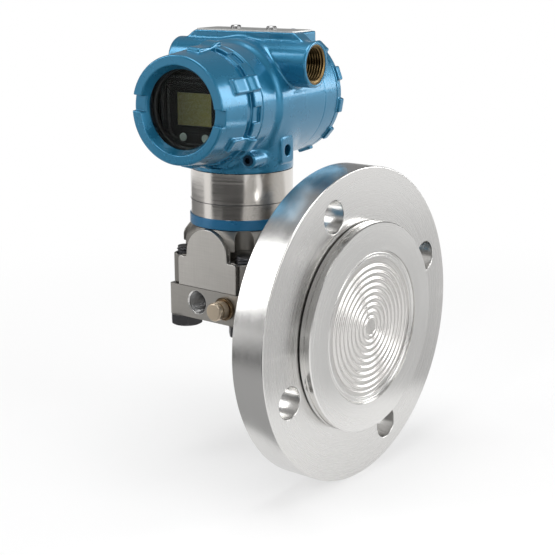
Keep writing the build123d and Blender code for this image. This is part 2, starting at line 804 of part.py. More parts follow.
# Lock screws behind the two covers
with BuildPart() as cover_lock_screws:
    with BuildSketch(barrel.offset(lock_front_start - lock_screw_set_back)):
        with Locations(spoke(lock_radius_front, lock_boss_angle)):
            Circle(lock_screw_diameter / 2)
    extrude(amount=-lock_screw_length)
    with BuildSketch(barrel.offset(lock_front_start - lock_screw_set_back)):
        with Locations(spoke(lock_radius_front, lock_boss_angle)):
            RegularPolygon(lock_socket_flats / 2, 6, major_radius=False)
    extrude(amount=-lock_socket_depth, mode=Mode.SUBTRACT)
    with BuildSketch(barrel.offset(lock_rear_start + lock_screw_set_back)):
        with Locations(spoke(lock_radius_rear, rear_lock_angle)):
            Circle(lock_screw_diameter / 2)
    extrude(amount=lock_screw_length)
    with BuildSketch(barrel.offset(lock_rear_start + lock_screw_set_back)):
        with Locations(spoke(lock_radius_rear, rear_lock_angle)):
            RegularPolygon(lock_socket_flats / 2, 6, major_radius=False)
    extrude(amount=lock_socket_depth, mode=Mode.SUBTRACT)

# Set screw that stops the housing from turning on the neck
with BuildPart() as housing_set_screw:
    with BuildSketch(flank.offset(-pedestal_diameter / 2 + 0.4)):
        with Locations((0, set_screw_height - barrel_height)):
            Circle(set_screw_diameter / 2)
            RegularPolygon(set_screw_diameter / 4, 6, major_radius=False, mode=Mode.SUBTRACT)
    extrude(amount=1.4)
    with BuildSketch(flank.offset(-pedestal_diameter / 2 + 1.8)):
        with Locations((0, set_screw_height - barrel_height)):
            Circle(set_screw_diameter / 2)
    extrude(amount=(pedestal_diameter - spigot_diameter) / 2 - 1.8 - 0.4)

# Plug in the spare conduit entry
with BuildPart() as conduit_plug:
    with BuildSketch(flank.offset(-boss_half_span + plug_set_back)):
        with Locations(boss_place):
            Circle(conduit_thread_diameter / 2 - plug_gap)
    extrude(amount=plug_length)
    with BuildSketch(flank.offset(-boss_half_span + plug_set_back)):
        with Locations(boss_place):
            RegularPolygon(plug_socket_flats / 2, 6, major_radius=False)
    extrude(amount=plug_socket_depth, mode=Mode.SUBTRACT)

# Front cover: cone with window rim, groove, castellated collar and threaded skirt
collar_face = collar_front + cover_gap
groove_rear = collar_face + cover_collar_length
groove_front = groove_rear + groove_length
skirt_radius = front_bore_diameter / 2 - cover_skirt_gap
seal_floor = skirt_radius - cover_seal_bead
seal_width = cover_seal_bead + 2 * cover_seal_gap
glass_front = window_front - bevel_depth
glass_rear = glass_front - glass_thickness
retainer_rear = glass_rear - glass_gap - retainer_height
with BuildPart() as front_cover:
    with BuildSketch(barrel_section):
        with BuildLine():
            Polyline(
                (window_front, bevel_outer / 2),
                (window_front, window_rim_diameter / 2 - window_rim_edge),
                (window_front - window_rim_edge, window_rim_diameter / 2),
                (groove_front, cone_rear_diameter / 2),
                (groove_front, groove_diameter / 2),
                (groove_rear, groove_diameter / 2),
                (groove_rear, collar_diameter / 2),
                (collar_face, collar_diameter / 2),
                (collar_face, seal_floor),
                (collar_face - seal_width, seal_floor),
                (collar_face - seal_width, skirt_radius),
                (collar_face - cover_skirt_length, skirt_radius),
                (collar_face - cover_skirt_length, cover_inner_diameter / 2),
                (retainer_rear, cover_inner_diameter / 2),
                (retainer_rear, glass_diameter / 2 + glass_gap),
                (glass_front, glass_diameter / 2 + glass_gap),
                (glass_front, window_diameter / 2),
                close=True,
            )
        make_face()
    revolve(axis=barrel_axis)
    with BuildSketch(barrel.offset(groove_rear)):
        with PolarLocations(collar_diameter / 2, grip_count, start_angle=pocket_start):
            Rectangle(collar_diameter - pocket_floor_diameter, tooth_width)
    extrude(amount=grip_rear - groove_rear, mode=Mode.SUBTRACT)
    for step in range(grip_count):
        grip_turn = grip_start + step * 360 / grip_count
        grip_plane = Plane(
            origin=barrel_centre,
            x_dir=toward_window,
            z_dir=toward_right * -sin(radians(grip_turn)) + Vector(0, 0, cos(radians(grip_turn))),
        )
        with BuildSketch(grip_plane.offset(-tooth_width / 2)):
            with BuildLine():
                Polyline(
                    (grip_rear, -groove_diameter / 2 + 1),
                    (grip_rear, -collar_diameter / 2 - grip_rise),
                    (grip_top_front, -collar_diameter / 2 - grip_rise),
                    (grip_ramp_front, -collar_diameter / 2),
                    (grip_front, -collar_diameter / 2),
                    (grip_front, -window_rim_diameter / 2),
                    (groove_front, -groove_diameter / 2 + 1),
                    close=True,
                )
            make_face()
        extrude(amount=tooth_width)
    with BuildSketch(barrel.offset(window_front)):
        with PolarLocations(window_rim_diameter / 2, 2, start_angle=pocket_start):
            Rectangle(2 * notch_inset, notch_width)
    extrude(amount=-notch_depth, mode=Mode.SUBTRACT)

# Window glass and the ring that holds it
with BuildPart() as window_glass:
    with BuildSketch(barrel.offset(glass_front)):
        Circle(glass_diameter / 2)
    extrude(amount=-glass_thickness)

with BuildPart() as window_retainer:
    with BuildSketch(barrel.offset(glass_rear)):
        Circle(glass_diameter / 2)
        Circle(glass_diameter / 2 - retainer_wall, mode=Mode.SUBTRACT)
    extrude(amount=-retainer_height)
    chamfer(window_retainer.edges().filter_by(GeomType.CIRCLE).group_by(SortBy.RADIUS)[0], 0.5)

# Seal ring of the front cover
with BuildPart() as front_cover_seal:
    with BuildSketch(barrel_section):
        with Locations((collar_face - seal_width / 2, seal_floor + cover_seal_gap + cover_seal_bead / 2)):
            Circle(cover_seal_bead / 2)
    revolve(axis=barrel_axis)

# Rear cover: blind cap with the same castellated collar
rear_collar_face = -(barrel_rear + cover_gap)
rear_collar_end = rear_collar_face - rear_collar_length
rear_cone_end = rear_collar_end - rear_cone_length
rear_face = rear_cone_end - rear_face_length
rear_skirt_radius = rear_bore_diameter / 2 - cover_skirt_gap
rear_seal_floor = rear_skirt_radius - cover_seal_bead
with BuildPart() as rear_cover:
    with BuildSketch(barrel_section):
        with BuildLine():
            Polyline(
                (rear_face, 0),
                (rear_face, rear_face_diameter / 2 - window_rim_edge),
                (rear_face + window_rim_edge, rear_face_diameter / 2),
                (rear_cone_end, rear_cone_diameter / 2),
                (rear_collar_end, barrel_rear_diameter / 2),
                (rear_collar_face, barrel_rear_diameter / 2),
                (rear_collar_face, rear_seal_floor),
                (rear_collar_face + seal_width, rear_seal_floor),
                (rear_collar_face + seal_width, rear_skirt_radius),
                (rear_collar_face + cover_skirt_length, rear_skirt_radius),
                (rear_collar_face + cover_skirt_length, rear_inner_diameter / 2),
                (rear_face + rear_wall, rear_inner_diameter / 2),
                (rear_face + rear_wall, 0),
                close=True,
            )
        make_face()
    revolve(axis=barrel_axis)
    rear_tooth_depth = rear_tooth_reach + 1.0
    rear_tooth_middle = barrel_rear_diameter / 2 + rear_tooth_reach - rear_tooth_depth / 2
    with BuildSketch(barrel.offset(rear_collar_face - 1.0)):
        with PolarLocations(rear_tooth_middle, tooth_count, start_angle=rear_tooth_start):
            RectangleRounded(rear_tooth_depth, tooth_width, tooth_round)
    extrude(amount=-rear_tooth_length)
    with BuildSketch(barrel.offset(rear_face)):
        with PolarLocations(rear_face_diameter / 2, 2):
            Rectangle(2 * notch_inset, notch_width)
    extrude(amount=notch_depth, mode=Mode.SUBTRACT)

with BuildPart() as rear_cover_seal:
    with BuildSketch(barrel_section):
        bead_middle = rear_seal_floor + cover_seal_gap + cover_seal_bead / 2
        with Locations((rear_collar_face + seal_width / 2, bead_middle)):
            Circle(cover_seal_bead / 2)
    revolve(axis=barrel_axis)

# Potted electronics in the front room
with BuildPart() as electronics_module:
    with BuildSketch(barrel.offset(partition_front)):
        Circle(electronics_diameter / 2)
    extrude(amount=electronics_height)
    with BuildSketch(barrel.offset(partition_front)):
        Circle(stack_diameter / 2)
    extrude(amount=electronics_top - partition_front)

# Display case with pockets for the buttons
button_places = [(side * button_spacing / 2, -button_drop) for side in (-1, 1)]
button_foot = case_top + bezel_thickness + button_rise - button_length
with BuildPart() as display_case:
    with BuildSketch(barrel.offset(electronics_top)):
        Circle(stack_diameter / 2)
    extrude(amount=case_top - electronics_top)
    with BuildSketch(barrel.offset(case_top)):
        with Locations(*button_places):
            Circle(button_diameter / 2 + button_gap)
    extrude(amount=button_foot - button_travel - module_gap - case_top, mode=Mode.SUBTRACT)

# Bezel with the display opening, a raised frame, button holes and grip ribs
with BuildPart() as display_bezel:
    with BuildSketch(barrel.offset(case_top)):
        Circle(bezel_diameter / 2)
    extrude(amount=bezel_thickness)
    with BuildSketch(barrel.offset(case_top + bezel_thickness)):
        with Locations((0, -lcd_drop)):
            RectangleRounded(lcd_width + 2 * frame_width, lcd_height + 2 * frame_width, 1.6)
            Rectangle(lcd_width + 2 * lcd_gap, lcd_height + 2 * lcd_gap, mode=Mode.SUBTRACT)
        Circle(bezel_diameter / 2)
        Circle(bezel_diameter / 2 - frame_width, mode=Mode.SUBTRACT)
    extrude(amount=frame_rise)
    with BuildSketch(barrel.offset(case_top + bezel_thickness)):
        with Locations((0, -button_drop)):
            with GridLocations(0, rib_pitch, 1, rib_count):
                Rectangle(rib_length, rib_width)
    extrude(amount=frame_rise / 2)
    with BuildSketch(barrel.offset(case_top)):
        with Locations((0, -lcd_drop)):
            Rectangle(lcd_width + 2 * lcd_gap, lcd_height + 2 * lcd_gap)
        with Locations(*button_places):
            Circle(button_diameter / 2 + button_gap)
    extrude(amount=bezel_thickness + frame_rise, mode=Mode.SUBTRACT)

with BuildPart() as lcd_panel:
    with BuildSketch(barrel.offset(case_top)):
        with Locations((0, -lcd_drop)):
            Rectangle(lcd_width, lcd_height)
    extrude(amount=lcd_thickness)

# Two push buttons
with BuildPart() as display_button_left:
    with BuildSketch(barrel.offset(button_foot)):
        with Locations(button_places[0]):
            Circle(button_diameter / 2)
    extrude(amount=button_length)
    fillet(display_button_left.edges().filter_by(GeomType.CIRCLE).sort_by(barrel_axis)[-1], 0.5)

with BuildPart() as display_button_right:
    with BuildSketch(barrel.offset(button_foot)):
        with Locations(button_places[1]):
            Circle(button_diameter / 2)
    extrude(amount=button_length)
    fillet(display_button_right.edges().filter_by(GeomType.CIRCLE).sort_by(barrel_axis)[-1], 0.5)

# Terminal block with a walled pocket and a screw for each wire
terminal_seat = partition_front - partition_thickness
terminal_face = terminal_seat - terminal_depth
with BuildPart() as terminal_block:
    with BuildSketch(barrel.offset(terminal_seat)):
        with Locations((0, -terminal_drop)):
            RectangleRounded(terminal_width, terminal_height, 3)
    extrude(amount=-terminal_depth)
    with BuildSketch(barrel.offset(terminal_face)):
        with Locations((0, -terminal_drop + 3)):
            with GridLocations(terminal_pitch, 0, terminal_count, 1):
                Rectangle(pocket_width, terminal_height - 4)
    extrude(amount=terminal_pocket_depth, mode=Mode.SUBTRACT)

with BuildPart() as terminal_screws:
    screw_seat = terminal_face + terminal_pocket_depth
    with BuildSketch(barrel.offset(screw_seat)):
        with Locations((0, -terminal_drop)):
            with GridLocations(terminal_pitch, 0, terminal_count, 1):
                Circle(terminal_screw_diameter / 2)
    extrude(amount=-terminal_screw_height)
    with BuildSketch(barrel.offset(screw_seat - terminal_screw_height)):
        with Locations((0, -terminal_drop)):
            with GridLocations(terminal_pitch, 0, terminal_count, 1):
                Rectangle(terminal_slot_width, terminal_screw_diameter)
    extrude(amount=terminal_slot_depth, mode=Mode.SUBTRACT)

pieces = {
    "mounting_flange": mounting_flange,
    "seal_body": seal_body,
    "diaphragm": diaphragm,
    "weld_ring": weld_ring,
    "seal_hub": seal_hub,
    "process_block": process_block,
    "process_seal_rings": process_seal_rings,
    "vent_valve_seat": vent_valve_seat,
    "vent_valve_stem": vent_valve_stem,
    "flange_bolts": flange_bolts,
    "sensor_module": sensor_module,
    "sensor_capsule": sensor_capsule,
    "module_ring": module_ring,
    "neck_sleeve": neck_sleeve,
    "label_band": label_band,
    "sensor_board": sensor_board,
    "housing": housing,
    "name_plate": name_plate,
    "name_plate_screws": name_plate_screws,
    "cover_lock_screws": cover_lock_screws,
    "housing_set_screw": housing_set_screw,
    "conduit_plug": conduit_plug,
    "front_cover": front_cover,
    "window_glass": window_glass,
    "window_retainer": window_retainer,
    "front_cover_seal": front_cover_seal,
    "rear_cover": rear_cover,
    "rear_cover_seal": rear_cover_seal,
    "electronics_module": electronics_module,
    "display_case": display_case,
    "display_bezel": display_bezel,
    "lcd_panel": lcd_panel,
    "display_button_left": display_button_left,
    "display_button_right": display_button_right,
    "terminal_block": terminal_block,
    "terminal_screws": terminal_screws,
}
for name, piece in pieces.items():
    piece.part.label = name
    export_step(piece.part, f"parts/{name}.step")
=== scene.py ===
import math

import bmesh
import bpy
import numpy as np
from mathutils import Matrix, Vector


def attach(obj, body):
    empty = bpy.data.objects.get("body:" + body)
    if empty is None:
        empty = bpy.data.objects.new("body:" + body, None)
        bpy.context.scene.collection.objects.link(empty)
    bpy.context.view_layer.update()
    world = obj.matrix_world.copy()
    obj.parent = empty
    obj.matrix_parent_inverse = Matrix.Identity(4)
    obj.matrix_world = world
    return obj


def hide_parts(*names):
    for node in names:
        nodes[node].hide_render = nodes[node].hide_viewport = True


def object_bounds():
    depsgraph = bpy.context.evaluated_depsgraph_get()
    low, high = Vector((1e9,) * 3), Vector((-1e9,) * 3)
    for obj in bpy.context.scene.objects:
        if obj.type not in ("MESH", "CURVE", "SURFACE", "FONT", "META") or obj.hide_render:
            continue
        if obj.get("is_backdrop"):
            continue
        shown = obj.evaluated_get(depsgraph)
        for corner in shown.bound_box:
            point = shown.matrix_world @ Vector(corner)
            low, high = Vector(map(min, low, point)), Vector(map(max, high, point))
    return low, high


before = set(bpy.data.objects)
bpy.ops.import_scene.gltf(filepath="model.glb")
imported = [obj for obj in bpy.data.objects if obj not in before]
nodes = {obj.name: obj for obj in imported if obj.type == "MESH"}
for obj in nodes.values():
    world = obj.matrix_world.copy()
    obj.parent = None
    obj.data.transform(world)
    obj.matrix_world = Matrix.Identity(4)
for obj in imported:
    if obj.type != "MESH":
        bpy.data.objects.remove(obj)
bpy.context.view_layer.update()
scene = bpy.context.scene

# Sizes are written in millimetres in a local frame, and turned into the row frame in metres.
# A local frame is a matrix, whose columns are its x, y and z axes, and its origin.
YAW = math.radians(6.7)
S, C = math.sin(YAW), math.cos(YAW)
NECK_X, BARREL_Z = -92.1, 128.25
# The neck: z up
NECK = (np.eye(3), np.array((NECK_X, 0, 0)))
# The barrel: x to the right, y up, z to the window
BARREL = (np.array(((C, 0, S), (S, 0, -C), (0, 1, 0))), np.array((NECK_X, 0, BARREL_Z)))
# The seal and its flange: z towards the vessel
SEAL = (np.array(((0, 0, 1), (1, 0, 0), (0, 1, 0)), float), np.zeros(3))


def place(v, f):
    """Local points in the row frame: the frame's matrix times the point, plus its origin, over 1000."""
    return ((np.asarray(v, float) @ f[0].T) + f[1]) / 1000


def finish_piece(name, me, mat, body, angle=32, slot=None, replaces=()):
    """Mesh as a piece on a body, smooth but for edges sharper than the angle in degrees."""
    o = bpy.data.objects.new(name, me)
    scene.collection.objects.link(o)
    me.materials.append(mat)
    me.polygons.foreach_set("use_smooth", np.ones(len(me.polygons), bool))
    if angle is not None:
        me.set_sharp_from_angle(angle=math.radians(angle))
    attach(o, body)
    if replaces:
        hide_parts(*replaces)
    return o


def quads_mesh(name, v, f):
    """Mesh from an array of vertices and an array of faces that all have the same number of sides."""
    me = bpy.data.meshes.new(name)
    me.vertices.add(len(v))
    me.vertices.foreach_set("co", np.asarray(v, np.float32).ravel())
    n = f.shape[1]
    me.loops.add(f.size)
    me.loops.foreach_set("vertex_index", f.ravel().astype(np.int32))
    me.polygons.add(len(f))
    me.polygons.foreach_set("loop_start", np.arange(0, f.size, n, dtype=np.int32))
    me.update(calc_edges=True)
    return me


def joined(me, gap=2e-6):
    """Mesh with points nearer than the gap made one, which closes seams and poles, and faces outwards."""
    bm = bmesh.new()
    bm.from_mesh(me)
    bmesh.ops.remove_doubles(bm, verts=bm.verts, dist=gap)
    bmesh.ops.recalc_face_normals(bm, faces=bm.faces)
    bm.to_mesh(me)
    bm.free()
    return me


def rounded(points, closed=True, k=5):
    """Corners (a, b, radius) as a line of points: each corner becomes an arc of k steps that touches both
    sides, at radius / tan(half the corner's angle) from the corner."""
    nearly_straight = math.pi / 2 - 0.02
    longest = 0.49
    out = []
    n = len(points)
    for i, (a, b, r) in enumerate(points):
        p = np.array((a, b), float)
        if r <= 0 or (not closed and i in (0, n - 1)):
            out.append(p)
            continue
        q, s = np.array(points[i - 1][:2], float), np.array(points[(i + 1) % n][:2], float)
        u, w = (q - p) / np.linalg.norm(q - p), (s - p) / np.linalg.norm(s - p)
        half = math.acos(max(-1, min(1, float(u @ w)))) / 2
        if half > nearly_straight:
            out.append(p)
            continue
        d = min(r / math.tan(half), longest * np.linalg.norm(q - p), longest * np.linalg.norm(s - p))
        r = d * math.tan(half)
        c = p + (u + w) / np.linalg.norm(u + w) * (r / math.sin(half))
        a0, a1 = p + u * d - c, p + w * d - c
        turn = math.atan2(a0[0] * a1[1] - a0[1] * a1[0], a0 @ a1)
        for j in range(k + 1):
            t = turn * j / k
            x, y = a0[0] * math.cos(t) - a0[1] * math.sin(t), a0[0] * math.sin(t) + a0[1] * math.cos(t)
            out.append(c + np.array((x, y)))
    return np.array(out)


def grid_quads(rows, segs):
    """Quads of a grid of rows by segs points, each joined to the next both ways, and the last to the first."""
    i, j = np.meshgrid(np.arange(rows), np.arange(segs), indexing="ij")
    i2, j2 = (i + 1) % rows, (j + 1) % segs
    return np.stack((i * segs + j, i * segs + j2, i2 * segs + j2, i2 * segs + j), -1).reshape(-1, 4)


def lathe(name, points, f, mat, body, segs, **more):
    """Turned piece from corners (radius, height, fillet): at the angle t, a profile point lies at
    (radius cos t, radius sin t, height) in the local frame."""
    p = rounded(points)
    t = np.linspace(0, 2 * np.pi, segs, endpoint=False)
    n = len(p)
    heights = np.broadcast_to(p[:, None, 1], (n, segs))
    v = np.stack((p[:, None, 0] * np.cos(t), p[:, None, 0] * np.sin(t), heights), -1)
    me = joined(quads_mesh(name, place(v.reshape(-1, 3), f), grid_quads(n, segs)))
    return finish_piece(name, me, mat, body, **more)


def ring_points(r, n, x=0.0, y=0.0):
    """Circle of n points: the centre (x, y) plus r (cos t, sin t)."""
    t = np.linspace(0, 2 * np.pi, n, endpoint=False)
    return np.stack((x + r * np.cos(t), y + r * np.sin(t)), -1)


def plate_mesh(name, loops, z0, z1, bevel, f):
    """Flat plate from z0 to z1 between outlines in the local xy plane: a filled curve, extruded, whose
    edges are quarter rounds with the bevel as their radius, drawn in so that the outlines keep their size."""
    cu = bpy.data.curves.new(name, "CURVE")
    cu.dimensions = "2D"
    cu.fill_mode = "BOTH"
    cu.extrude = (z1 - z0) / 2 - bevel
    cu.bevel_depth = bevel
    cu.bevel_resolution = 3
    cu.offset = -bevel
    for pts in loops:
        sp = cu.splines.new("POLY")
        sp.points.add(len(pts) - 1)
        co = np.column_stack((pts, np.zeros(len(pts)), np.ones(len(pts))))
        sp.points.foreach_set("co", co.astype(np.float32).ravel())
        sp.use_cyclic_u = True
    o = bpy.data.objects.new(name, cu)
    scene.collection.objects.link(o)
    bpy.context.view_layer.update()
    me = bpy.data.meshes.new_from_object(o.evaluated_get(bpy.context.evaluated_depsgraph_get()))
    bpy.data.objects.remove(o)
    bpy.data.curves.remove(cu)
    v = np.empty(len(me.vertices) * 3, np.float32)
    me.vertices.foreach_get("co", v)
    v = v.reshape(-1, 3).astype(float)
    v[:, 2] += (z0 + z1) / 2
    me.vertices.foreach_set("co", place(v, f).astype(np.float32).ravel())
    me.materials.clear()
    return joined(me)


def plate(name, loops, z0, z1, bevel, f, mat, body, **more):
    """Flat plate as a piece, shaded flat on its wide faces and round on its edges."""
    o = finish_piece(name, plate_mesh(name, loops, z0, z1, bevel, f), mat, body, **more)
    # Normals weighted by area: a wide face stays flat, and its rounded edge takes the turn
    weighted = o.modifiers.new("weighted", "WEIGHTED_NORMAL")
    weighted.weight = 100
    weighted.keep_sharp = True
    return o


def smax(a, b, k):
    """Smooth maximum: the larger of a and b, plus (k - |a - b|)^2 / 4k where they differ by less than k."""
    h = np.maximum(k - np.abs(a - b), 0) / k
    return np.maximum(a, b) + h * h * k / 4


def smin(a, b, k):
    """Smooth minimum: the smooth maximum of -a and -b, with its sign turned."""
    return -smax(-a, -b, k)


def turned(points):
    """Signed distance to a turned profile, as a function of (radius, height): the distance to its nearest
    side, negative inside, kept in a table and read as the weighted mean of the four entries round a point."""
    cell, pad, far_off, no_length = 0.12, 5.0, 1e9, 1e-12
    p = rounded(points, k=3)
    lo, hi = p.min(0) - pad, p.max(0) + pad
    nx, ny = (np.ceil((hi - lo) / cell).astype(int) + 1)
    gx = lo[0] + cell * np.arange(nx)
    gy = lo[1] + cell * np.arange(ny)
    X, Y = np.meshgrid(gx, gy, indexing="ij")
    best = np.full(X.shape, far_off)
    inside = np.zeros(X.shape, bool)
    for a, b in zip(p, np.roll(p, -1, 0)):
        e = b - a
        ll = float(e @ e)
        if ll < no_length:
            continue
        t = np.clip(((X - a[0]) * e[0] + (Y - a[1]) * e[1]) / ll, 0, 1)
        best = np.minimum(best, (X - a[0] - t * e[0]) ** 2 + (Y - a[1] - t * e[1]) ** 2)
        if a[1] != b[1]:
            side = (b[0] - a[0]) * (Y - a[1]) / (b[1] - a[1]) + a[0]
            inside ^= ((a[1] > Y) != (b[1] > Y)) & (X < side)
    table = np.sqrt(best) * np.where(inside, -1, 1)

    def at(r, h):
        """Table read at (radius, height), a place outside it at its nearest edge."""
        x = np.clip((r - lo[0]) / cell, 0, nx - 1.001)
        y = np.clip((h - lo[1]) / cell, 0, ny - 1.001)
        i, j = x.astype(int), y.astype(int)
        x, y = x - i, y - j
        return (table[i, j] * (1 - x) * (1 - y) + table[i + 1, j] * x * (1 - y)
                + table[i, j + 1] * (1 - x) * y + table[i + 1, j + 1] * x * y)

    return at


CORNERS = np.array([(i, j, k) for i in (0, 1) for j in (0, 1) for k in (0, 1)])
EDGES = [(a, b) for a in range(8) for b in range(a + 1, 8) if np.abs(CORNERS[a] - CORNERS[b]).sum() == 1]


def sculpt(name, fn, lo, hi, step, f, mat, body, **more):
    """Surface where a signed distance is zero. Each grid cell that it crosses has one vertex, at the mean of
    the crossings of the cell's edges, which then moves by distance / slope squared along the slope until it
    lies on the surface. A quad joins the four cells round each crossed grid line. Normals are the slope."""
    rows_at_once, rounds, least_slope, longest_move, nearly_zero = 24, 3, 0.1, 0.45, 1e-9
    axes = [np.arange(a, b + step, step) for a, b in zip(lo, hi)]
    shape = [len(a) for a in axes]
    vals = np.empty(shape, np.float32)
    for i in range(0, shape[0], rows_at_once):
        X, Y, Z = np.meshgrid(axes[0][i:i + rows_at_once], axes[1], axes[2], indexing="ij")
        vals[i:i + rows_at_once] = fn(X, Y, Z)
    neg = vals < 0
    ends = np.array(shape) - 1
    count = sum(neg[a:ends[0] + a, b:ends[1] + b, c:ends[2] + c].astype(np.int8) for a, b, c in CORNERS)
    cells = np.argwhere((count > 0) & (count < 8))
    ids = np.full([s - 1 for s in shape], -1, np.int64)
    ids[tuple(cells.T)] = np.arange(len(cells))
    cv = np.stack([vals[tuple((cells + c).T)] for c in CORNERS], -1)
    total, hits = np.zeros((len(cells), 3)), np.zeros(len(cells))
    for a, b in EDGES:
        on = (cv[:, a] < 0) != (cv[:, b] < 0)
        t = cv[:, a] / np.where(on, cv[:, a] - cv[:, b], 1)
        total += np.where(on[:, None], CORNERS[a] + t[:, None] * (CORNERS[b] - CORNERS[a]), 0)
        hits += on
    base = np.array([a[0] for a in axes])
    v = base + step * (cells + total / hits[:, None])

    def slope(p, e=0.04):
        """Slope by central differences over 2e."""
        g = [fn(*(p + d).T) - fn(*(p - d).T) for d in np.eye(3) * e]
        return np.stack(g, -1) / (2 * e)

    for _ in range(rounds):
        g = slope(v)
        d = fn(*v.T)
        move = g * (d / np.maximum((g * g).sum(-1), least_slope))[:, None]
        far = np.linalg.norm(move, axis=1, keepdims=True)
        v = v - move * np.minimum(1, longest_move * step / np.maximum(far, nearly_zero))
    faces = []
    for ax in range(3):
        o1, o2 = [(1, 2), (2, 0), (0, 1)][ax]
        a = np.take(neg, np.arange(shape[ax] - 1), ax)
        b = np.take(neg, np.arange(1, shape[ax]), ax)
        at = np.argwhere(a != b)
        inner = (at[:, o1] > 0) & (at[:, o2] > 0) & (at[:, o1] < ends[o1]) & (at[:, o2] < ends[o2])
        at = at[inner]
        d1, d2 = np.eye(3, dtype=int)[o1], np.eye(3, dtype=int)[o2]
        q = np.stack([ids[tuple((at - o).T)] for o in (d1 + d2, d2, 0 * d1, d1)], -1)
        flip = ~a[tuple(at.T)]
        q[flip] = q[flip][:, ::-1]
        faces.append(q)
    faces = np.concatenate(faces)
    me = quads_mesh(name, place(v, f), faces)
    g = slope(v)
    g /= np.maximum(np.linalg.norm(g, axis=1, keepdims=True), nearly_zero)
    o = finish_piece(name, me, mat, body, angle=None, **more)
    me.normals_split_custom_set_from_vertices((g @ f[0].T).astype(np.float32))
    return o


# Materials
FLOAT, COLOUR, VECTOR = "NodeSocketFloat", "NodeSocketColor", "NodeSocketVector"


def linear(r, g, b):
    """Linear colour of display values from 0 to 255: v / 12.92 near black, else ((v + 0.055) / 1.055)^2.4."""
    out = []
    for v in (r / 255, g / 255, b / 255):
        out.append(v / 12.92 if v <= 0.04045 else ((v + 0.055) / 1.055) ** 2.4)
    return (*out, 1.0)


def put(g, kind, ins=(), **props):
    """Node of a kind, with its properties, and with values or links in its inputs."""
    n = g.nodes.new(kind)
    for k, v in props.items():
        setattr(n, k, v)
    for k, v in dict(ins).items():
        if isinstance(v, bpy.types.NodeSocket):
            g.links.new(v, n.inputs[k])
        else:
            n.inputs[k].default_value = v
    return n


def maths(g, op, a, b=0.0):
    """Result of a maths node on one or two values."""
    return put(g, "ShaderNodeMath", {0: a, 1: b}, operation=op).outputs[0]


def times(g, a, b):
    """Product of a and b."""
    return maths(g, "MULTIPLY", a, b)


def plus(g, a, b):
    """Sum of a and b."""
    return maths(g, "ADD", a, b)


def weighted(g, a, b, share):
    """A share of a, and the rest of b."""
    return plus(g, times(g, a, share), times(g, b, 1 - share))


def stretched(g, at, factors):
    """Point with each of its coordinates times a factor."""
    return put(g, "ShaderNodeVectorMath", {0: at, 1: factors}, operation="MULTIPLY").outputs[0]


def noise(g, at, scale, detail, roughness=0.5):
    """Soft noise about 0.5 at a point."""
    ins = {"Vector": at, "Scale": scale, "Detail": detail, "Roughness": roughness}
    return put(g, "ShaderNodeTexNoise", ins).outputs[0]


def new_group(name, low, high, more=()):
    """Shader group with a base colour and the ends of its roughness as inputs, and what all groups put out."""
    g = bpy.data.node_groups.new(name, "ShaderNodeTree")
    for n, kind, value in (("Base", COLOUR, None), *more, ("Low", FLOAT, low), ("High", FLOAT, high)):
        s = g.interface.new_socket(n, in_out="INPUT", socket_type=kind)
        if value is not None:
            s.default_value = value
    for n, kind in (("Colour", COLOUR), ("Roughness", FLOAT), ("Normal", VECTOR)):
        g.interface.new_socket(n, in_out="OUTPUT", socket_type=kind)
    return g, g.nodes.new("NodeGroupInput"), g.nodes.new("NodeGroupOutput")


def spread(g, gin, value, low=0.35, high=0.65):
    """Roughness from the group's Low to its High as a value goes from low to high."""
    ends = {"To Min": gin.outputs["Low"], "To Max": gin.outputs["High"]}
    return put(g, "ShaderNodeMapRange", {"Value": value, "From Min": low, "From Max": high, **ends}).outputs[0]


def finish_group(g, gin, gout, tone, rough, height, amount, strength, distance):
    """Base colour times 1 + amount (tone - 0.5), the roughness, and the normal of a bump."""
    value = plus(g, 1.0, times(g, maths(g, "SUBTRACT", tone, 0.5), amount))
    colour = put(g, "ShaderNodeHueSaturation", {"Color": gin.outputs["Base"], "Value": value}).outputs[0]
    bump = put(g, "ShaderNodeBump", {"Strength": strength, "Distance": distance, "Height": height})
    g.links.new(colour, gout.inputs["Colour"])
    g.links.new(rough, gout.inputs["Roughness"])
    g.links.new(bump.outputs["Normal"], gout.inputs["Normal"])
    return g


def object_point(g):
    """The shaded point in object coordinates, which are the row frame's."""
    return put(g, "ShaderNodeTexCoord").outputs["Object"]


def paint_group():
    """Sprayed gloss paint: orange peel, with faint broad changes of tone and gloss."""
    g, gin, gout = new_group("sprayed_paint", 0.2, 0.34)
    at = object_point(g)
    broad = noise(g, at, scale=38.0, detail=4.0, roughness=0.6)
    peel = noise(g, at, scale=420.0, detail=1.5)
    rough = spread(g, gin, broad, low=0.3, high=0.7)
    return finish_group(g, gin, gout, broad, rough, peel, amount=0.12, strength=0.03, distance=0.0004)


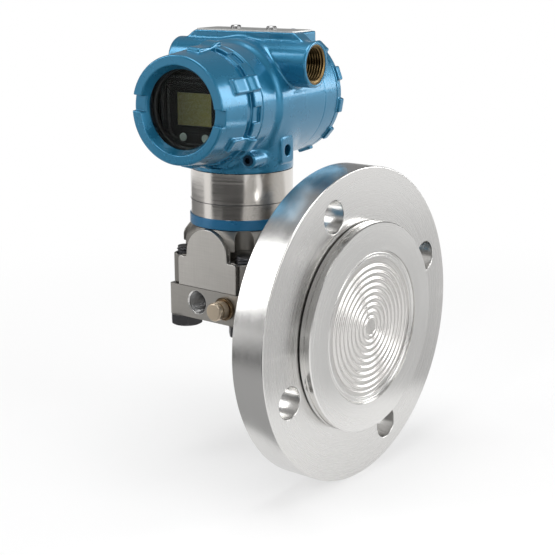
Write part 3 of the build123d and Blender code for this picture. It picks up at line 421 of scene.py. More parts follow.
def turned_group():
    """Machined on a lathe about the row frame's X axis: rings that follow the radius on a face and the
    length on a rim, which is smoother. Round the axis, the marks follow a cosine and a sine, so they join up."""
    g, gin, gout = new_group("turned_metal", 0.2, 0.34, [("Fine", FLOAT, 900.0)])
    x, y, z = put(g, "ShaderNodeSeparateXYZ", {0: object_point(g)}).outputs
    fine = gin.outputs["Fine"]
    radius = maths(g, "SQRT", plus(g, times(g, y, y), times(g, z, z)))
    off_zero = plus(g, radius, 0.0001)
    cosine = maths(g, "DIVIDE", y, off_zero)
    sine = maths(g, "DIVIDE", z, off_zero)

    def wound(across, along, around):
        """Where the noise is read: the radius, the length and the place round the axis, each times a scale."""
        ins = {
            0: times(g, radius, across), 1: plus(g, times(g, x, along), times(g, sine, around)),
            2: times(g, cosine, around)}
        return put(g, "ShaderNodeCombineXYZ", ins).outputs[0]

    rings = noise(g, wound(across=fine, along=fine, around=0.5), scale=1.6, detail=4.0, roughness=0.7)
    bands = noise(g, wound(across=90.0, along=120.0, around=0.8), scale=1.0, detail=3.0, roughness=0.6)
    mix = weighted(g, rings, bands, share=0.6)
    facing = put(g, "ShaderNodeSeparateXYZ", {0: put(g, "ShaderNodeTexCoord").outputs["Normal"]}).outputs[0]
    ins = {"Value": maths(g, "ABSOLUTE", facing), "From Min": 0.3, "From Max": 0.9}
    flat = put(g, "ShaderNodeMapRange", ins).outputs[0]
    rough = times(g, spread(g, gin, mix), plus(g, 0.8, times(g, flat, 0.2)))
    height = times(g, rings, plus(g, 0.25, times(g, flat, 0.75)))
    return finish_group(g, gin, gout, mix, rough, height, amount=0.14, strength=0.08, distance=0.0003)


def rolled_group():
    """Rolled metal round an upright axis: fine marks that run round it, and soft patches."""
    g, gin, gout = new_group("rolled_metal", 0.16, 0.3)
    at = object_point(g)
    marks = noise(g, stretched(g, at, (18.0, 18.0, 1500.0)), scale=1.0, detail=4.0, roughness=0.65)
    mix = weighted(g, marks, noise(g, at, scale=45.0, detail=3.0), share=0.65)
    rough = spread(g, gin, mix)
    return finish_group(g, gin, gout, mix, rough, marks, amount=0.2, strength=0.03, distance=0.0003)


def cast_group():
    """Cast or blasted metal, or rubber: small grain and broad patches."""
    g, gin, gout = new_group("cast_metal", 0.36, 0.55, [("Grain", FLOAT, 1600.0)])
    at = object_point(g)
    grain = noise(g, at, scale=gin.outputs["Grain"], detail=3.0, roughness=0.6)
    mix = weighted(g, grain, noise(g, at, scale=70.0, detail=5.0, roughness=0.6), share=0.4)
    rough = spread(g, gin, mix)
    return finish_group(g, gin, gout, mix, rough, grain, amount=0.35, strength=0.22, distance=0.0003)


def milled_group():
    """Milled flat: fine cutter marks along two axes, and broad patches."""
    g, gin, gout = new_group("milled_metal", 0.25, 0.42)
    at = object_point(g)
    across = noise(g, stretched(g, at, (1500.0, 60.0, 60.0)), scale=1.0, detail=3.0)
    along = noise(g, stretched(g, at, (60.0, 60.0, 1500.0)), scale=1.0, detail=3.0)
    broad = noise(g, at, scale=60.0, detail=4.0)
    mix = plus(g, times(g, plus(g, across, along), 0.3), times(g, broad, 0.4))
    rough = spread(g, gin, mix)
    return finish_group(g, gin, gout, mix, rough, mix, amount=0.7, strength=0.4, distance=0.0004)


def painted_light_panel_group():
    """Display panel with painted light and shade: darker on its left and lighter on its right, with a faint grain."""
    half_width = 0.016
    g, gin, gout = new_group("display_panel_painted_light", 0.2, 0.3)
    at = object_point(g)
    x = put(g, "ShaderNodeSeparateXYZ", {0: at}).outputs[0]
    # Painted shade on the panel's left and painted light on its right, across its width
    ins = {"Value": x, "From Min": NECK_X / 1000 - half_width, "From Max": NECK_X / 1000 + half_width}
    side = put(g, "ShaderNodeMapRange", ins).outputs[0]
    grain = noise(g, at, scale=900.0, detail=2.0)
    rough = spread(g, gin, grain)
    return finish_group(g, gin, gout, side, rough, grain, amount=0.7, strength=0.01, distance=0.0001)


def moulded_group():
    """Moulded plastic or clear glass: an even face with faint smears in its gloss."""
    g, gin, gout = new_group("moulded_surface", 0.02, 0.06)
    smears = noise(g, object_point(g), scale=130.0, detail=3.0, roughness=0.55)
    rough = spread(g, gin, smears)
    return finish_group(g, gin, gout, smears, rough, smears, amount=0.1, strength=0.02, distance=0.0001)


GROUPS = {
    "paint": paint_group(), "turned": turned_group(), "rolled": rolled_group(), "cast": cast_group(),
    "milled": milled_group(), "panel": painted_light_panel_group(), "moulded": moulded_group(),
}


# How far the highlights of turned and rolled metal are drawn out
BRUSHED = 0.65


def surface(name, group, base, metallic, low, high, fixed=(), tangent=None, **extra):
    """Material with a group's colour, roughness and normal. Values that are the same all over are set on the
    shader, and a tangent axis makes its highlights run across the marks round that axis."""
    m = bpy.data.materials.new(name)
    m.use_nodes = True
    t = m.node_tree
    b = t.nodes["Principled BSDF"]
    n = put(t, "ShaderNodeGroup", node_tree=GROUPS[group])
    for k, v in {"Base": base, "Low": low, "High": high, **extra}.items():
        n.inputs[k].default_value = v
    t.links.new(n.outputs["Colour"], b.inputs["Base Color"])
    t.links.new(n.outputs["Roughness"], b.inputs["Roughness"])
    t.links.new(n.outputs["Normal"], b.inputs["Normal"])
    b.inputs["Metallic"].default_value = metallic
    for k, v in dict(fixed).items():
        b.inputs[k].default_value = v
    if tangent:
        round_axis = put(t, "ShaderNodeTangent", direction_type="RADIAL", axis=tangent)
        t.links.new(round_axis.outputs[0], b.inputs["Tangent"])
        b.inputs["Anisotropic"].default_value = BRUSHED
    return m


# Each with its name, group, colour as it is shown, metallic value, and the ends of its roughness
COAT = {"Coat Weight": 0.45, "Coat Roughness": 0.12}
blue = surface("housing_paint", "paint", linear(34, 116, 152), 0.52, 0.23, 0.34, COAT)
ring_blue = surface(
    "ring_paint", "paint", linear(14, 102, 146), 0.25, 0.25, 0.36, {"Coat Weight": 0.3, "Coat Roughness": 0.2})
flange_steel = surface("flange_steel", "turned", linear(220, 219, 217), 1.0, 0.2, 0.34, tangent="X", Fine=1200.0)
seal_steel = surface("seal_steel", "turned", linear(228, 227, 225), 1.0, 0.18, 0.3, tangent="X", Fine=1500.0)
foil_steel = surface("foil_steel", "turned", linear(216, 214, 211), 1.0, 0.24, 0.34, tangent="X", Fine=2400.0)
neck_steel = surface("neck_steel", "rolled", linear(216, 212, 207), 1.0, 0.1, 0.2, tangent="Z")
block_steel = surface("block_steel", "milled", linear(168, 165, 160), 1.0, 0.3, 0.46)
plate_steel = surface("plate_steel", "milled", linear(194, 191, 186), 1.0, 0.3, 0.46)
name_steel = surface("name_steel", "milled", linear(206, 206, 204), 1.0, 0.3, 0.44)
cast_grey = surface("cast_grey", "cast", linear(140, 137, 132), 1.0, 0.38, 0.55, Grain=1500.0)
bolt_black = surface("bolt_black", "cast", linear(84, 84, 86), 0.9, 0.32, 0.5, Grain=2200.0)
lock_black = surface("lock_black", "cast", linear(34, 58, 76), 0.9, 0.3, 0.44, Grain=2200.0)
screw_steel = surface("screw_steel", "cast", linear(150, 150, 150), 1.0, 0.25, 0.4, Grain=2600.0)
valve_bronze = surface("valve_bronze", "cast", linear(204, 189, 168), 1.0, 0.26, 0.4, Grain=2400.0)
thread_brass = surface("thread_brass", "cast", linear(124, 104, 70), 1.0, 0.3, 0.44, Grain=2400.0)
seat_bronze = surface("seat_bronze", "cast", linear(104, 88, 68), 1.0, 0.18, 0.3, Grain=2600.0)
case_gloss = surface("case_gloss", "moulded", linear(26, 28, 30), 0.0, 0.14, 0.24)
case_black = surface(
    "case_black", "moulded", linear(12, 13, 14), 0.0, 0.34, 0.46, {"Specular IOR Level": 0.12})
lcd_green = surface("lcd_green", "panel", linear(124, 118, 64), 0.0, 0.24, 0.3)
button_green = surface("button_green", "moulded", linear(200, 214, 206), 0.0, 0.35, 0.5)
rubber = surface("rubber", "cast", linear(26, 26, 26), 0.0, 0.55, 0.7, Grain=2200.0)
board_green = surface("board_green", "cast", linear(30, 96, 56), 0.0, 0.4, 0.55, Grain=2500.0)
glass = surface(
    "window_glass", "moulded", linear(222, 227, 224), 0.0, 0.01, 0.03, {"Transmission Weight": 1.0, "IOR": 1.14})

MATERIALS = {
    "mounting_flange": flange_steel, "seal_body": seal_steel, "weld_ring": seal_steel, "diaphragm": foil_steel,
    "seal_hub": seal_steel, "process_block": block_steel, "process_seal_rings": rubber,
    "vent_valve_seat": seat_bronze, "vent_valve_stem": valve_bronze, "flange_bolts": bolt_black,
    "sensor_module": cast_grey, "sensor_capsule": seal_steel, "module_ring": ring_blue, "neck_sleeve": neck_steel,
    "label_band": neck_steel, "sensor_board": board_green, "housing": blue, "name_plate": name_steel,
    "name_plate_screws": screw_steel, "cover_lock_screws": lock_black, "housing_set_screw": bolt_black,
    "conduit_plug": thread_brass, "front_cover": blue, "window_glass": glass, "window_retainer": bolt_black,
    "front_cover_seal": rubber, "rear_cover": blue, "rear_cover_seal": rubber, "electronics_module": case_black,
    "display_case": case_black, "display_bezel": case_black, "lcd_panel": lcd_green,
    "display_button_left": button_green, "display_button_right": button_green, "terminal_block": case_black,
    "terminal_screws": thread_brass,
}
for n, o in nodes.items():
    o.data.materials.clear()
    o.data.materials.append(MATERIALS[n])


# Parts of a distance function: a value below zero is inside
def both(first, *rest):
    """Where all parts overlap: the largest of their distances."""
    for d in rest:
        first = np.maximum(first, d)
    return first


def either(first, *rest):
    """All parts together: the smallest of their distances."""
    for d in rest:
        first = np.minimum(first, d)
    return first


def slab(x, centre, half):
    """Layer round a centre plane: |x - centre| less half the thickness."""
    return np.abs(x - centre) - half


def between(x, low, high):
    """Layer from low to high: the larger of x - high and low - x."""
    return np.maximum(x - high, low - x)


def slant(a, b, rise, run):
    """Slanting plane through a = b = 0: (a rise + b run) over the length of (rise, run), to two decimals."""
    return (a * rise + b * run) / round(math.hypot(rise, run), 2)


def folded(v, w, start, count):
    """Distances across and along the nearest of several spokes round the barrel axis, and from the axis: the
    angle from the first spoke, in degrees, is folded into one step, and its sine and cosine are taken."""
    step = 2 * math.pi / count
    a = np.arctan2(w, v) - math.radians(start)
    a = (a + step / 2) % step - step / 2
    r = np.hypot(v, w)
    return np.abs(r * np.sin(a)), r * np.cos(a), r


# Middle of the conduit bosses, along u and w
BOSS_U, BOSS_W = -5.9, 22.9


# Housing casting, in the barrel frame: v to the right, w up, u to the window
def lug(v, w, u, radius, angle, u0, u1):
    """Lock screw boss and its hole, at a radius and an angle on the barrel: the smooth minimum of a round
    bar and a flat web that joins it to the barrel, cut to the length from u0 to u1."""
    bar_radius, hole_radius, web_half, web_reach = 5.0, 3.5, 3.6, 4.6
    a = math.radians(angle)
    along = v * math.cos(a) + w * math.sin(a) - radius
    across = w * math.cos(a) - v * math.sin(a)
    from_axis = np.hypot(along, across)
    web = smax(slab(across, 0, web_half), slab(along, -web_reach, web_reach), 0.8)
    boss = smin(from_axis - bar_radius, web, 1.6)
    return smax(boss, slab(u, (u0 + u1) / 2, (u1 - u0) / 2), 1.0), from_axis - hole_radius


def housing_shape(v, w, u):
    """Housing: the smooth minimum of barrel, pedestal, bridge, cap, conduit bosses, lock screw bosses and
    ground pad, less the bores and holes. The last number of each smax and smin is the width of the blend."""
    barrel_r, neck_r = np.hypot(v, w), np.hypot(v, u)
    # Barrel: a shoulder behind the front cover, a slow widening to the rear, and a fine groove
    front_radius = 35.4
    shoulder_at, shoulder_length, shoulder_rise = 17.4, 6.4, 1.9
    taper_at, taper_length, taper_rise = 11, 63.6, 1.4
    groove_at, groove_width, groove_depth = -38, 0.4, 0.2
    t = np.clip((shoulder_at - u) / shoulder_length, 0, 1)
    radius = front_radius + shoulder_rise * t * t * (3 - 2 * t)
    radius = radius + taper_rise * np.clip((taper_at - u) / taper_length, 0, 1)
    radius = radius - groove_depth * np.exp(-((u - groove_at) / groove_width) ** 2)
    barrel_middle, barrel_half = -10.7, 41.9
    d = smax(barrel_r - radius, slab(u, barrel_middle, barrel_half), 0.9)
    # Pedestal round the neck axis
    pedestal_radius, pedestal_foot, pedestal_top = 32.2, -41.45, -8
    d = smin(d, both(smax(neck_r - pedestal_radius, pedestal_foot - w, 1.2), w - pedestal_top), 5.0)
    # Bridge over the top, and its wider cap with sloping ends
    bridge_half, bridge_top, bridge_foot, bridge_middle, bridge_depth = 35.5, 41.2, 8, -16, 14
    cap_half, cap_middle, cap_depth, slope_from = 42.6, -7.7, 5.7, 36.3
    sides = smax(slab(v, 0, bridge_half), w - bridge_top, 1.0)
    bridge = smax(sides, smax(slab(u, bridge_middle, bridge_depth), bridge_foot - w, 1.0), 1.0)
    slope = slant(np.abs(v) - slope_from, w - bridge_top, 4.8, 6.0)
    sides = smax(slab(v, 0, cap_half), smax(w - bridge_top, slope, 1.2), 1.2)
    cap = smax(sides, smax(slab(u, cap_middle, cap_depth), BOSS_W - w, 1.0), 1.2)
    d = smin(d, smin(bridge, cap, 0.8), 2.6)
    # Conduit bosses on both sides
    boss_radius, boss_reach = 13.86, 49.7
    boss_r = np.hypot(u - BOSS_U, w - BOSS_W)
    d = smin(d, smax(boss_r - boss_radius, slab(v, 0, boss_reach), 1.2), 1.8)
    # Lock screw bosses of the two covers
    front, front_hole = lug(v, w, u, radius=40.0, angle=-53.4, u0=12.0, u1=30.0)
    rear, rear_hole = lug(v, w, u, radius=42.3, angle=-126.6, u0=-51.4, u1=-30.4)
    d = smin(d, smin(front, rear, 0.5), 1.6)
    # Ground pad on the right
    pad_height, pad_root, pad_face, pad_half_u, pad_half_w = -28.8, 18, 33.4, 7, 7.75
    pad = smax(slab(u, 0, pad_half_u), slab(w, pad_height, pad_half_w), 2.4)
    d = smin(d, smax(pad, between(v, pad_root, pad_face), 1.0), 1.4)
    # The cover turns in front of the pedestal
    cover_from, cover_radius = 31.2, 38.4
    d = smax(d, either(u - cover_from, cover_radius - barrel_r), 0.5)
    # Bores, each with a radius and an end: the two compartments, both with a wider thread, the conduit
    # entries in two steps, and the neck's
    front_thread, front_thread_end, front_room, front_room_end = 31.7, 19.0, 31.0, 10.0
    rear_thread, rear_thread_end, rear_room, rear_room_end = 33.2, -40.0, 31.5, 5.0
    entry_thread, entry_thread_end, entry_bore, entry_bore_end = 11.7, 31.5, 9.6, 18
    neck_bore, neck_bore_end = 28.05, -33.3
    out = np.abs(v)
    hollow = either(
        both(barrel_r - front_thread, front_thread_end - u), both(barrel_r - front_room, front_room_end - u),
        both(barrel_r - rear_thread, u - rear_thread_end), both(barrel_r - rear_room, u - rear_room_end),
        both(boss_r - entry_thread, entry_thread_end - out), both(boss_r - entry_bore, entry_bore_end - out),
        both(neck_r - neck_bore, w - neck_bore_end))
    d = smax(d, -hollow, 0.8)
    # Lock screw holes, the front one narrower at its mouth, the ground hole and the set screw's hole
    mouth_from, mouth_step, ground_radius, set_radius, set_height = 28.4, 0.9, 3.4, 2.6, -37.65
    front_end, rear_end, ground_end, set_end = 18.5, -36.9, 24.4, -28.0
    holes = either(
        both(front_hole + mouth_step * (u > mouth_from), front_end - u), both(rear_hole, u - rear_end),
        both(np.hypot(u, w - pad_height) - ground_radius, ground_end - v),
        both(np.hypot(u, w - set_height) - set_radius, v - set_end))
    return smax(d, -holes, 0.6)


sculpt(
    "housing_casting", housing_shape, lo=(-51, -43, -53.8), hi=(51, 42.6, 32.6), step=0.85, f=BARREL,
    mat=blue, body="housing_body", slot="housing_paint", replaces=("housing",))

# Half the width of the teeth, notches and slots of both covers
TOOTH_HALF = 4.6

# Front cover, in the barrel frame. Profiles are (distance from the axis, height, fillet).
front_profile = turned([
    (26.0, 68.6, 0.5), (31.7, 68.6, 0.9), (34.1, 45.0, 0.7), (32.6, 45.0, 0.5), (32.6, 39.6, 0.5), (35.4, 39.6, 0.6),
    (35.4, 31.4, 0.4), (29.2, 31.4, 0), (29.2, 28.9, 0), (31.4, 28.9, 0.3), (31.4, 20.8, 0.3), (27.8, 20.8, 0.3),
    (27.8, 53.3, 0), (25.8, 53.3, 0), (25.8, 62.4, 0), (23.1, 62.4, 0.3)])


def front_cover_shape(v, w, u):
    """Front cover: the turned profile with six teeth added, each a tall part with a ramp and a low part in
    front of it, less six notches between them in the collar and two slots in the front rim."""
    first_tooth, first_notch = 24.5, -5.5
    tooth_foot, tooth_inner, tall_radius, low_radius, low_end, ramp_from = 33.4, 30, 38.0, 35.4, 56.0, 37.5
    across, along, r = folded(v, w, first_tooth, 6)
    side = across - TOOTH_HALF
    ramp = slant(u - ramp_from, along - tall_radius, 2.6, 6)
    tall = smax(smax(smax(along - tall_radius, ramp, 1.0), tooth_foot - u, 0.9), side, 1.2)
    low = smax(smax(smax(along - low_radius, u - low_end, 2.2), tooth_foot - u, 0.9), side, 1.4)
    d = smin(front_profile(r, u), both(smin(tall, low, 0.8), tooth_inner - along), 0.9)
    notch_floor, notch_end = 33.7, 43.0
    across, along, _ = folded(v, w, first_notch, 6)
    notch = both(smax(across - TOOTH_HALF, notch_floor - along, 0.6), between(u, tooth_foot, notch_end))
    d = smax(d, -notch, 0.6)
    slot_inner, slot_floor = 20.0, 65.0
    across, along, _ = folded(v, w, first_notch, 2)
    slot = smax(across - TOOTH_HALF, smax(slot_inner - along, slot_floor - u, 0.5), 0.5)
    return smax(d, -slot, 0.7)


sculpt(
    "front_cover_shell", front_cover_shape, lo=(-39, -39, 19.6), hi=(39, 39, 69.6), step=0.6, f=BARREL,
    mat=blue, body="front_cover_body", slot="housing_paint", replaces=("front_cover",))

# Rear cover, in the barrel frame
rear_profile = turned([
    (-6.0, -66.0, 0), (33.5, -66.0, 1.0), (35.0, -62.1, 0.8), (38.7, -57.5, 0.8), (38.7, -52.8, 0.5), (30.7, -52.8, 0),
    (30.7, -50.3, 0), (32.9, -50.3, 0.3), (32.9, -42.2, 0.3), (29.5, -42.2, 0.3), (29.5, -61.5, 1.0), (-6.0, -61.5, 0)])


def rear_cover_shape(v, w, u):
    """Rear cover: the turned profile with twelve teeth added round its collar, less two slots in its face."""
    tooth_radius, tooth_inner, tooth_middle, tooth_depth = 40.3, 33, -56.3, 2.5
    across, along, r = folded(v, w, 20.0, 12)
    tooth = smax(smax(across - TOOTH_HALF, along - tooth_radius, 1.0), slab(u, tooth_middle, tooth_depth), 0.9)
    d = smin(rear_profile(r, u), both(tooth, tooth_inner - along), 0.8)
    slot_inner, slot_floor = 29.1, -62.4
    across, along, _ = folded(v, w, 0.0, 2)
    slot = smax(across - TOOTH_HALF, smax(slot_inner - along, u - slot_floor, 0.5), 0.5)
    return smax(d, -slot, 0.7)


sculpt(
    "rear_cover_shell", rear_cover_shape, lo=(-41.5, -41.5, -67.2), hi=(41.5, 41.5, -41.2), step=0.7, f=BARREL,
    mat=blue, body="rear_cover_body", slot="housing_paint", replaces=("rear_cover",))

# The four clamp bolts, from the neck axis
BOLT_X, BOLT_Y = 24.0, 27.0


# Sensor module casting, in the neck frame
def module_shape(x, y, z):
    """Sensor module: a round body with a cone on top, cut by a rounded square, and a square foot with the bolt
    ears, less the seats and holes of the four bolts and the bore."""
    body_radius, cone_from, half_x, body_y, foot_y = 37.2, 45.8, 30.5, 32.5, 33.0
    bottom, foot_top, top = 14, 34, 52.2
    r = np.hypot(x, y)
    ax, ay = np.abs(x), np.abs(y)
    cone = slant(r - body_radius, z - cone_from, 6.4, 5.2)
    body = smax(smax(r - body_radius, cone, 1.6), smax(ax - half_x, ay - body_y, 5.0), 2.5)
    body = smax(body, between(z, bottom, top), 0.6)
    foot = smax(smax(ax - half_x, ay - foot_y, 4.5), between(z, bottom, foot_top), 1.6)
    d = smin(body, foot, 1.5)
    seat_radius, seat_top, hole_radius = 8.5, 39.5, 5.75
    bolt = np.hypot(ax - BOLT_X, ay - BOLT_Y)
    d = smax(d, -both(bolt - seat_radius, between(z, foot_top, seat_top)), 1.2)
    # Below its floor the bore is put out of reach
    bore_radius, bore_floor, out_of_reach = 26, 20, 1000
    return smax(d, -either(bolt - hole_radius, r - bore_radius + out_of_reach * (z < bore_floor)), 0.5)


sculpt(
    "module_casting", module_shape, lo=(-31.8, -36, 13.2), hi=(31.8, 36, 53.2), step=0.62, f=NECK,
    mat=cast_grey, body="process_body", slot="cast_grey", replaces=("sensor_module",))


# Mounting flange: a thick ring with its edges broken
FLANGE_RADIUS, FLANGE_BORE, FLANGE_BACK = 95.25, 25.05, -21.8
HOLE_CIRCLE, HOLE_RADIUS = 76.2, 9.525
outlines = [ring_points(FLANGE_RADIUS, 360), ring_points(FLANGE_BORE, 180)[::-1]]
for turn in (22.5, 112.5, 202.5, 292.5):
    a = math.radians(turn)
    outlines.append(ring_points(HOLE_RADIUS, 96, HOLE_CIRCLE * math.cos(a), HOLE_CIRCLE * math.sin(a))[::-1])
plate(
    "flange_ring", outlines, z0=FLANGE_BACK, z1=0.0, bevel=0.7, f=SEAL, mat=flange_steel, body="loose_flange",
    slot="seal_steel", replaces=("mounting_flange",))

# Weld ring round the foil, with the half round bead of the weld on it
BEAD_CENTRE, BEAD_HEIGHT = 44.9, 6.95
bead = [
    (BEAD_CENTRE + 0.55 * math.cos(t), BEAD_HEIGHT + 0.5 * math.sin(t), 0) for t in np.linspace(0, math.pi, 9)][::-1]
weld_profile = [
    (42.1, 6.5, 0), (42.1, 7.2, 0.25), (43.3, 7.2, 0.2), (43.6, 6.9, 0.1), (44.1, 6.9, 0), *bead,
    (45.7, 6.8, 0), (46.1, 7.3, 0.2), (46.4, 7.3, 0), (46.4, 6.5, 0)]
lathe(
    "weld_bead", weld_profile, SEAL, seal_steel, "process_body", segs=256, slot="seal_steel",
    replaces=("weld_ring",))


# Arched plates on the module's front and back
def arch_outline():
    """Outline of an arched plate: two square shoulders, and above them a half circle of points, the arch's
    radius times (cos t, sin t) from its centre."""
    half, arch, foot, shoulder, centre = 23.3, 16.3, 14.1, 33.0, 35.6
    corners = [(half, foot, 0.4), (half, shoulder, 2.0), (arch + 0.1, shoulder, 1.3), (arch, 36.0, 0)]
    right = rounded(corners, closed=False)
    t = np.linspace(0.03, np.pi - 0.03, 48)
    top = np.stack((arch * np.cos(t), centre + arch * np.sin(t)), -1)
    left = right[::-1] * np.array((-1, 1))
    return np.concatenate((right, top, left))


ARCH_FRONT = (np.array(((1, 0, 0), (0, 0, -1), (0, 1, 0)), float), np.array((NECK_X, 0, 0)))
ARCH_BACK = (np.array(((-1, 0, 0), (0, 0, 1), (0, 1, 0)), float), np.array((NECK_X, 0, 0)))
for side, f in (("front", ARCH_FRONT), ("back", ARCH_BACK)):
    plate(
        f"arch_plate_{side}", [arch_outline()], z0=31.0, z1=35.0, bevel=0.45, f=f, mat=plate_steel,
        body="process_body", slot="cast_grey")


# Threads
def threaded(name, crest, root, h0, h1, pitch, wall, f, mat, body, segs=96, steps=10, **more):
    """Screw thread as a surface of height and angle: the radius runs between crest and root along a
    triangle wave of (height / pitch - angle / full turn), faded at both ends, and a plain wall closes it."""
    flat, flank, fade_length = 0.12, 0.76, 0.6
    n = int((h1 - h0) / pitch * steps) + 1
    h = np.linspace(h0, h1, n)[:, None]
    t = np.linspace(0, 2 * np.pi, segs, endpoint=False)[None, :]
    wave = np.abs((h / pitch - t / (2 * np.pi)) % 1 - 0.5) * 2
    wave = np.clip((wave - flat) / flank, 0, 1)
    fade = np.clip(np.minimum(h - h0, h1 - h) / (fade_length * pitch), 0, 1)
    r = root + (crest - root) * wave * fade
    heights = np.broadcast_to(h, r.shape)
    ends = np.ones((1, segs))
    r = np.concatenate((r, wall * ends, wall * ends))
    heights = np.concatenate((heights, h1 * ends, h0 * ends))
    v = np.stack((r * np.cos(t), r * np.sin(t), heights), -1)
    me = joined(quads_mesh(name, place(v.reshape(-1, 3), f), grid_quads(n + 2, segs)))
    return finish_piece(name, me, mat, body, **more)


# The right-hand conduit entry: local z runs to the right along the boss
CONDUIT = (
    np.array(((0, S, C), (0, -C, S), (1, 0, 0)), float),
    np.array((NECK_X + BOSS_U * S, -BOSS_U * C, BARREL_Z + BOSS_W)))
threaded(
    "conduit_thread", crest=10.0, root=11.5, h0=31.6, h1=49.2, pitch=1.814, wall=12.0, f=CONDUIT,
    mat=thread_brass, body="housing_body", slot="screw_brass")

# The open port of the block: local z runs out of the block's face
PORT = (np.array(((1, 0, 0), (0, 0, -1), (0, 1, 0)), float), np.array((NECK_X - 8.1, 0, 4.6)))
threaded(
    "port_thread", crest=6.05, root=6.68, h0=20.0, h1=34.2, pitch=1.41, wall=6.9, f=PORT,
    mat=screw_steel, body="process_body", slot="block_steel")
mouth_profile = [(7.62, 35.02, 0), (6.72, 34.1, 0.2), (7.3, 33.6, 0), (8.1, 34.94, 0)]
lathe("port_mouth", mouth_profile, PORT, seal_steel, "process_body", segs=96, slot="block_steel")


# Clamp bolts: hexagon head under the block, threaded end in the ear
def hex_head(centre, flats, z_low, z_high, crown):
    """Hexagonal head as a surface of height and angle: the radius is the smaller of the hexagon's, half its
    width over the cosine, and a cone's that rounds its corners off, and a flat crown closes the underside."""
    turned_by, uncut = math.radians(15), 99.0
    t = np.linspace(0, 2 * np.pi, 144, endpoint=False) + turned_by
    side = (t - turned_by) % (math.pi / 3) - math.pi / 6
    half = flats / 2
    hexagon = half / np.cos(side)
    rows = []
    for h, cone in (
            (z_high, uncut), (z_low + 1.9, uncut), (z_low + 1.6, half + 1.3), (z_low + 1.1, half + 0.9),
            (z_low + 0.5, half + 0.15), (z_low + 0.15, half - 0.5), (z_low, half - 1.2), (z_low, crown),
            (z_low - 0.25, crown - 0.3), (z_low - 0.25, 0.0)):
        r = np.minimum(hexagon, cone)
        rows.append(np.stack((r * np.cos(t), r * np.sin(t), np.full_like(t, h)), -1))
    rows.append(np.stack((0 * t, 0 * t, np.full_like(t, z_high)), -1))
    v = np.stack(rows) + np.array((*centre, 0))
    return v.reshape(-1, 3), grid_quads(*v.shape[:2])


def merged(parts):
    """Several (vertices, quads) pairs as one pair: each pair's quads are moved on by the vertices before it."""
    vs, qs, base = [], [], 0
    for v, q in parts:
        vs.append(v)
        qs.append(q + base)
        base += len(v)
    return np.concatenate(vs), np.concatenate(qs)


BOLTS = [(sx * BOLT_X, sy * BOLT_Y) for sx in (-1, 1) for sy in (-1, 1)]
v, q = merged([hex_head(c, flats=19.0, z_low=-13.0, z_high=-6.0, crown=6.6) for c in BOLTS])
finish_piece(
    "bolt_heads", joined(quads_mesh("bolt_heads", place(v, NECK), q)), bolt_black, "process_body", angle=24,
    slot="bolt_steel", replaces=("flange_bolts",))
for i, (x, y) in enumerate(BOLTS):
    at = (NECK[0], NECK[1] + np.array((x, y, 0)))
    threaded(
        f"bolt_end_{i + 1}", crest=5.5, root=4.75, h0=13.9, h1=37.6, pitch=1.814, wall=0.0, f=at,
        mat=bolt_black, body="process_body", segs=48, steps=8, slot="bolt_steel")


# Display details behind the window, in the barrel frame
def disc_box(radius, half, low, high, corner):
    """Outline of a disc cut by a box: at each angle the radius is the smallest of the disc's and the
    box's half width over the cosine and height over the sine, then neighbours are averaged."""
    nearly_zero = 1e-6
    t = np.linspace(0, 2 * np.pi, 180, endpoint=False)
    c, s = np.cos(t), np.sin(t)
    r = np.minimum(radius, half / np.maximum(np.abs(c), nearly_zero))
    r = np.minimum(r, np.where(s > 0, high, -low) / np.maximum(np.abs(s), nearly_zero))
    p = np.stack((r * c, r * s), -1)
    for _ in range(int(corner * 4)):
        p = (np.roll(p, 1, 0) + 2 * p + np.roll(p, -1, 0)) / 4
    return p


FRAME_WIDTH, CASE_FACE = 1.7, 50.0
# Radius, half width, low and high edge, and rise above the case
FRAMES = ((25.2, 22.0, -24.5, 18.5, 2.2), (23.4, 18.2, -22.6, 15.2, 1.6))
for i, (radius, half, low, high, rise) in enumerate(FRAMES):
    outer = disc_box(radius, half, low, high, 3)
    inner = disc_box(radius - FRAME_WIDTH, half - FRAME_WIDTH, low + FRAME_WIDTH, high - FRAME_WIDTH, 3)[::-1]
    plate(
        f"display_frame_{i + 1}", [outer, inner], z0=49.8, z1=CASE_FACE + rise, bevel=0.6, f=BARREL,
        mat=case_gloss, body="housing_body", slot="case_plastic")

# Dark ring under the wrapped band of the neck: painted shade along the band's lower edge
band_shade_profile = [(31.9, 67.5, 0), (32.22, 67.5, 0.1), (32.22, 67.9, 0.1), (31.9, 67.9, 0)]
lathe("band_edge_shade", band_shade_profile, NECK, bolt_black, "process_body", segs=160, slot="sleeve_steel")


# Floor
def plain_material(name, colour, roughness):
    """Material of one colour and roughness, with its nodes and its shader."""
    m = bpy.data.materials.new(name)
    m.use_nodes = True
    shader = m.node_tree.nodes["Principled BSDF"]
    shader.inputs["Base Color"].default_value = colour
    shader.inputs["Roughness"].default_value = roughness
    return m, m.node_tree, shader


FLOOR_Z = -0.09525
bpy.ops.mesh.primitive_plane_add(size=60, location=(0, 0, FLOOR_Z))
floor = bpy.context.object
floor.name = "floor"
paper, pt, pb = plain_material("paper", linear(240, 240, 240), 0.75)
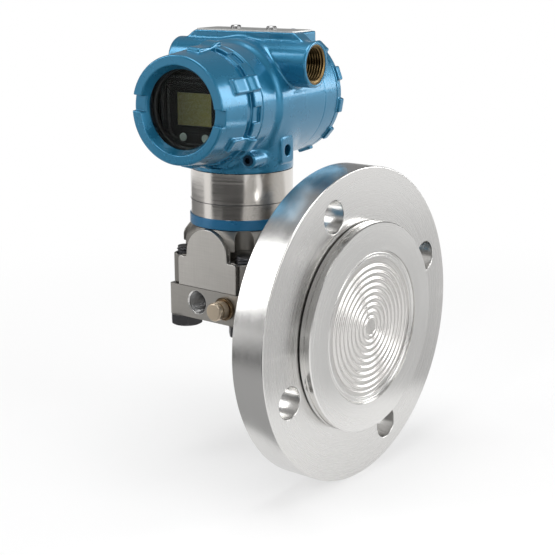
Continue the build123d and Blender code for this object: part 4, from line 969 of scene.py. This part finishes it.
# Away from the object the floor shows plain white, and near it the lamps and its shadow do
at = object_point(pt)
away = put(pt, "ShaderNodeVectorMath", {0: at}, operation="LENGTH").outputs["Value"]
ins = {"Value": away, "From Min": 0.22, "From Max": 0.7, "To Min": 0.56}
mask = put(pt, "ShaderNodeMapRange", ins, interpolation_type="SMOOTHSTEP").outputs[0]
path = put(pt, "ShaderNodeLightPath").outputs
mirrored = maths(pt, "MAXIMUM", path["Is Glossy Ray"], path["Is Transmission Ray"])
seen = maths(pt, "MAXIMUM", path["Is Camera Ray"], mirrored)
white = put(pt, "ShaderNodeEmission", {"Color": (1, 1, 1, 1), "Strength": 1.0})
mix = put(pt, "ShaderNodeMixShader", {0: times(pt, mask, seen), 1: pb.outputs[0], 2: white.outputs[0]})
pt.links.new(mix.outputs[0], pt.nodes["Material Output"].inputs["Surface"])
floor.data.materials.append(paper)
floor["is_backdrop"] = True


# Dark and grey sheets beside the camera's view, which only mirror-like reflections show: painted dark and grey
# reflections in the metal and paint
def painted_reflection_sheet(name, radii, angles, grey):
    """Ring sector on the floor about the neck axis, between two radii and two angles: its points lie at
    radius (cos t, sin t) from the axis, a little above the floor."""
    steps, above_floor = 24, 0.0006
    t = np.radians(np.linspace(*angles, steps))
    z = np.full_like(t, FLOOR_Z + above_floor)
    arcs = [np.stack((NECK_X / 1000 + r * np.cos(t), r * np.sin(t), z), -1) for r in radii]
    i = np.arange(steps - 1)
    quads = np.stack((i, i + steps, i + steps + 1, i + 1), -1)
    o = bpy.data.objects.new(name, quads_mesh(name, np.concatenate(arcs), quads))
    scene.collection.objects.link(o)
    o.data.materials.append(plain_material(name, (grey, grey, grey, 1), 1.0)[0])
    # Hidden from the camera, from diffuse light and from shadows: only glossy rays see it, as a painted reflection
    o.visible_camera = o.visible_diffuse = o.visible_shadow = False
    o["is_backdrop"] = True


# Name, radii in metres, angles in degrees, grey
painted_reflection_sheet("painted_reflection_front", (0.3, 1.3), (-94, -45), 0.02)
painted_reflection_sheet("painted_reflection_near_left", (0.3, 0.5), (-126, -94), 0.04)
painted_reflection_sheet("painted_reflection_mid_left", (0.5, 0.76), (-118, -94), 0.3)
painted_reflection_sheet("painted_reflection_far_left", (0.76, 1.3), (-122, -94), 0.03)
painted_reflection_sheet("painted_reflection_side", (0.5, 1.0), (-205, -143), 0.25)
painted_reflection_sheet("painted_reflection_back", (0.22, 0.9), (12, 62), 0.5)
painted_reflection_sheet("painted_reflection_under", (0.1, 0.3), (-170, -50), 0.36)


# Camera and light
def aimed(o, direction):
    """Object turned so that its -Z axis points along a direction, with its Y axis up."""
    o.rotation_mode = "QUATERNION"
    o.rotation_quaternion = direction.to_track_quat("-Z", "Y")


CAMERA_AZIMUTH, CAMERA_HEIGHT = math.radians(37.97), math.radians(14.41)
cam_data = bpy.data.cameras.new("camera")
cam = bpy.data.objects.new("camera", cam_data)
scene.collection.objects.link(cam)
level = math.cos(CAMERA_HEIGHT)
back = Vector((math.sin(CAMERA_AZIMUTH) * level, -math.cos(CAMERA_AZIMUTH) * level, math.sin(CAMERA_HEIGHT)))
cam.location = (0.4056, -0.6015, 0.2154)
aimed(cam, -back)
cam_data.lens = 81.8
cam_data.sensor_width = 36
cam_data.clip_start = 0.01
cam_data.clip_end = 80
scene.camera = cam

LAMPS_AIM = Vector((-0.05, 0, 0.05))


def softbox(name, place_at, size, power):
    """Rectangular lamp at a place, aimed at the object and hidden from the camera, its power in watts."""
    data = bpy.data.lights.new(name, "AREA")
    data.shape = "RECTANGLE"
    data.size, data.size_y = size
    data.energy = power
    o = bpy.data.objects.new(name, data)
    scene.collection.objects.link(o)
    o.visible_camera = False
    o.location = place_at
    aimed(o, LAMPS_AIM - Vector(place_at))


# Name, place and size in metres, power
softbox("top", (-0.1, -0.1, 1.5), (1.1, 0.9), 16)
softbox("left_strip", (-1.0, -1.0, 0.8), (0.4, 1.1), 7)
softbox("front_strip", (0.15, -1.5, 0.6), (0.14, 1.0), 3)
softbox("right_panel", (1.5, 0.1, 0.7), (0.8, 1.1), 11)
softbox("back_panel", (0.9, 1.5, 0.6), (0.6, 0.9), 10)

# World: white to the camera, dim as a light
AS_LIGHT = 0.24
world = bpy.data.worlds.new("studio")
scene.world = world
world.use_nodes = True
wt = world.node_tree
sky = wt.nodes["Background"].inputs
sky[0].default_value = (1, 1, 1, 1)
camera_ray = put(wt, "ShaderNodeLightPath").outputs["Is Camera Ray"]
wt.links.new(plus(wt, AS_LIGHT, times(wt, camera_ray, 1 - AS_LIGHT)), sky[1])
scene.view_settings.view_transform = "Standard"

bpy.context.view_layer.update()
low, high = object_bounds()
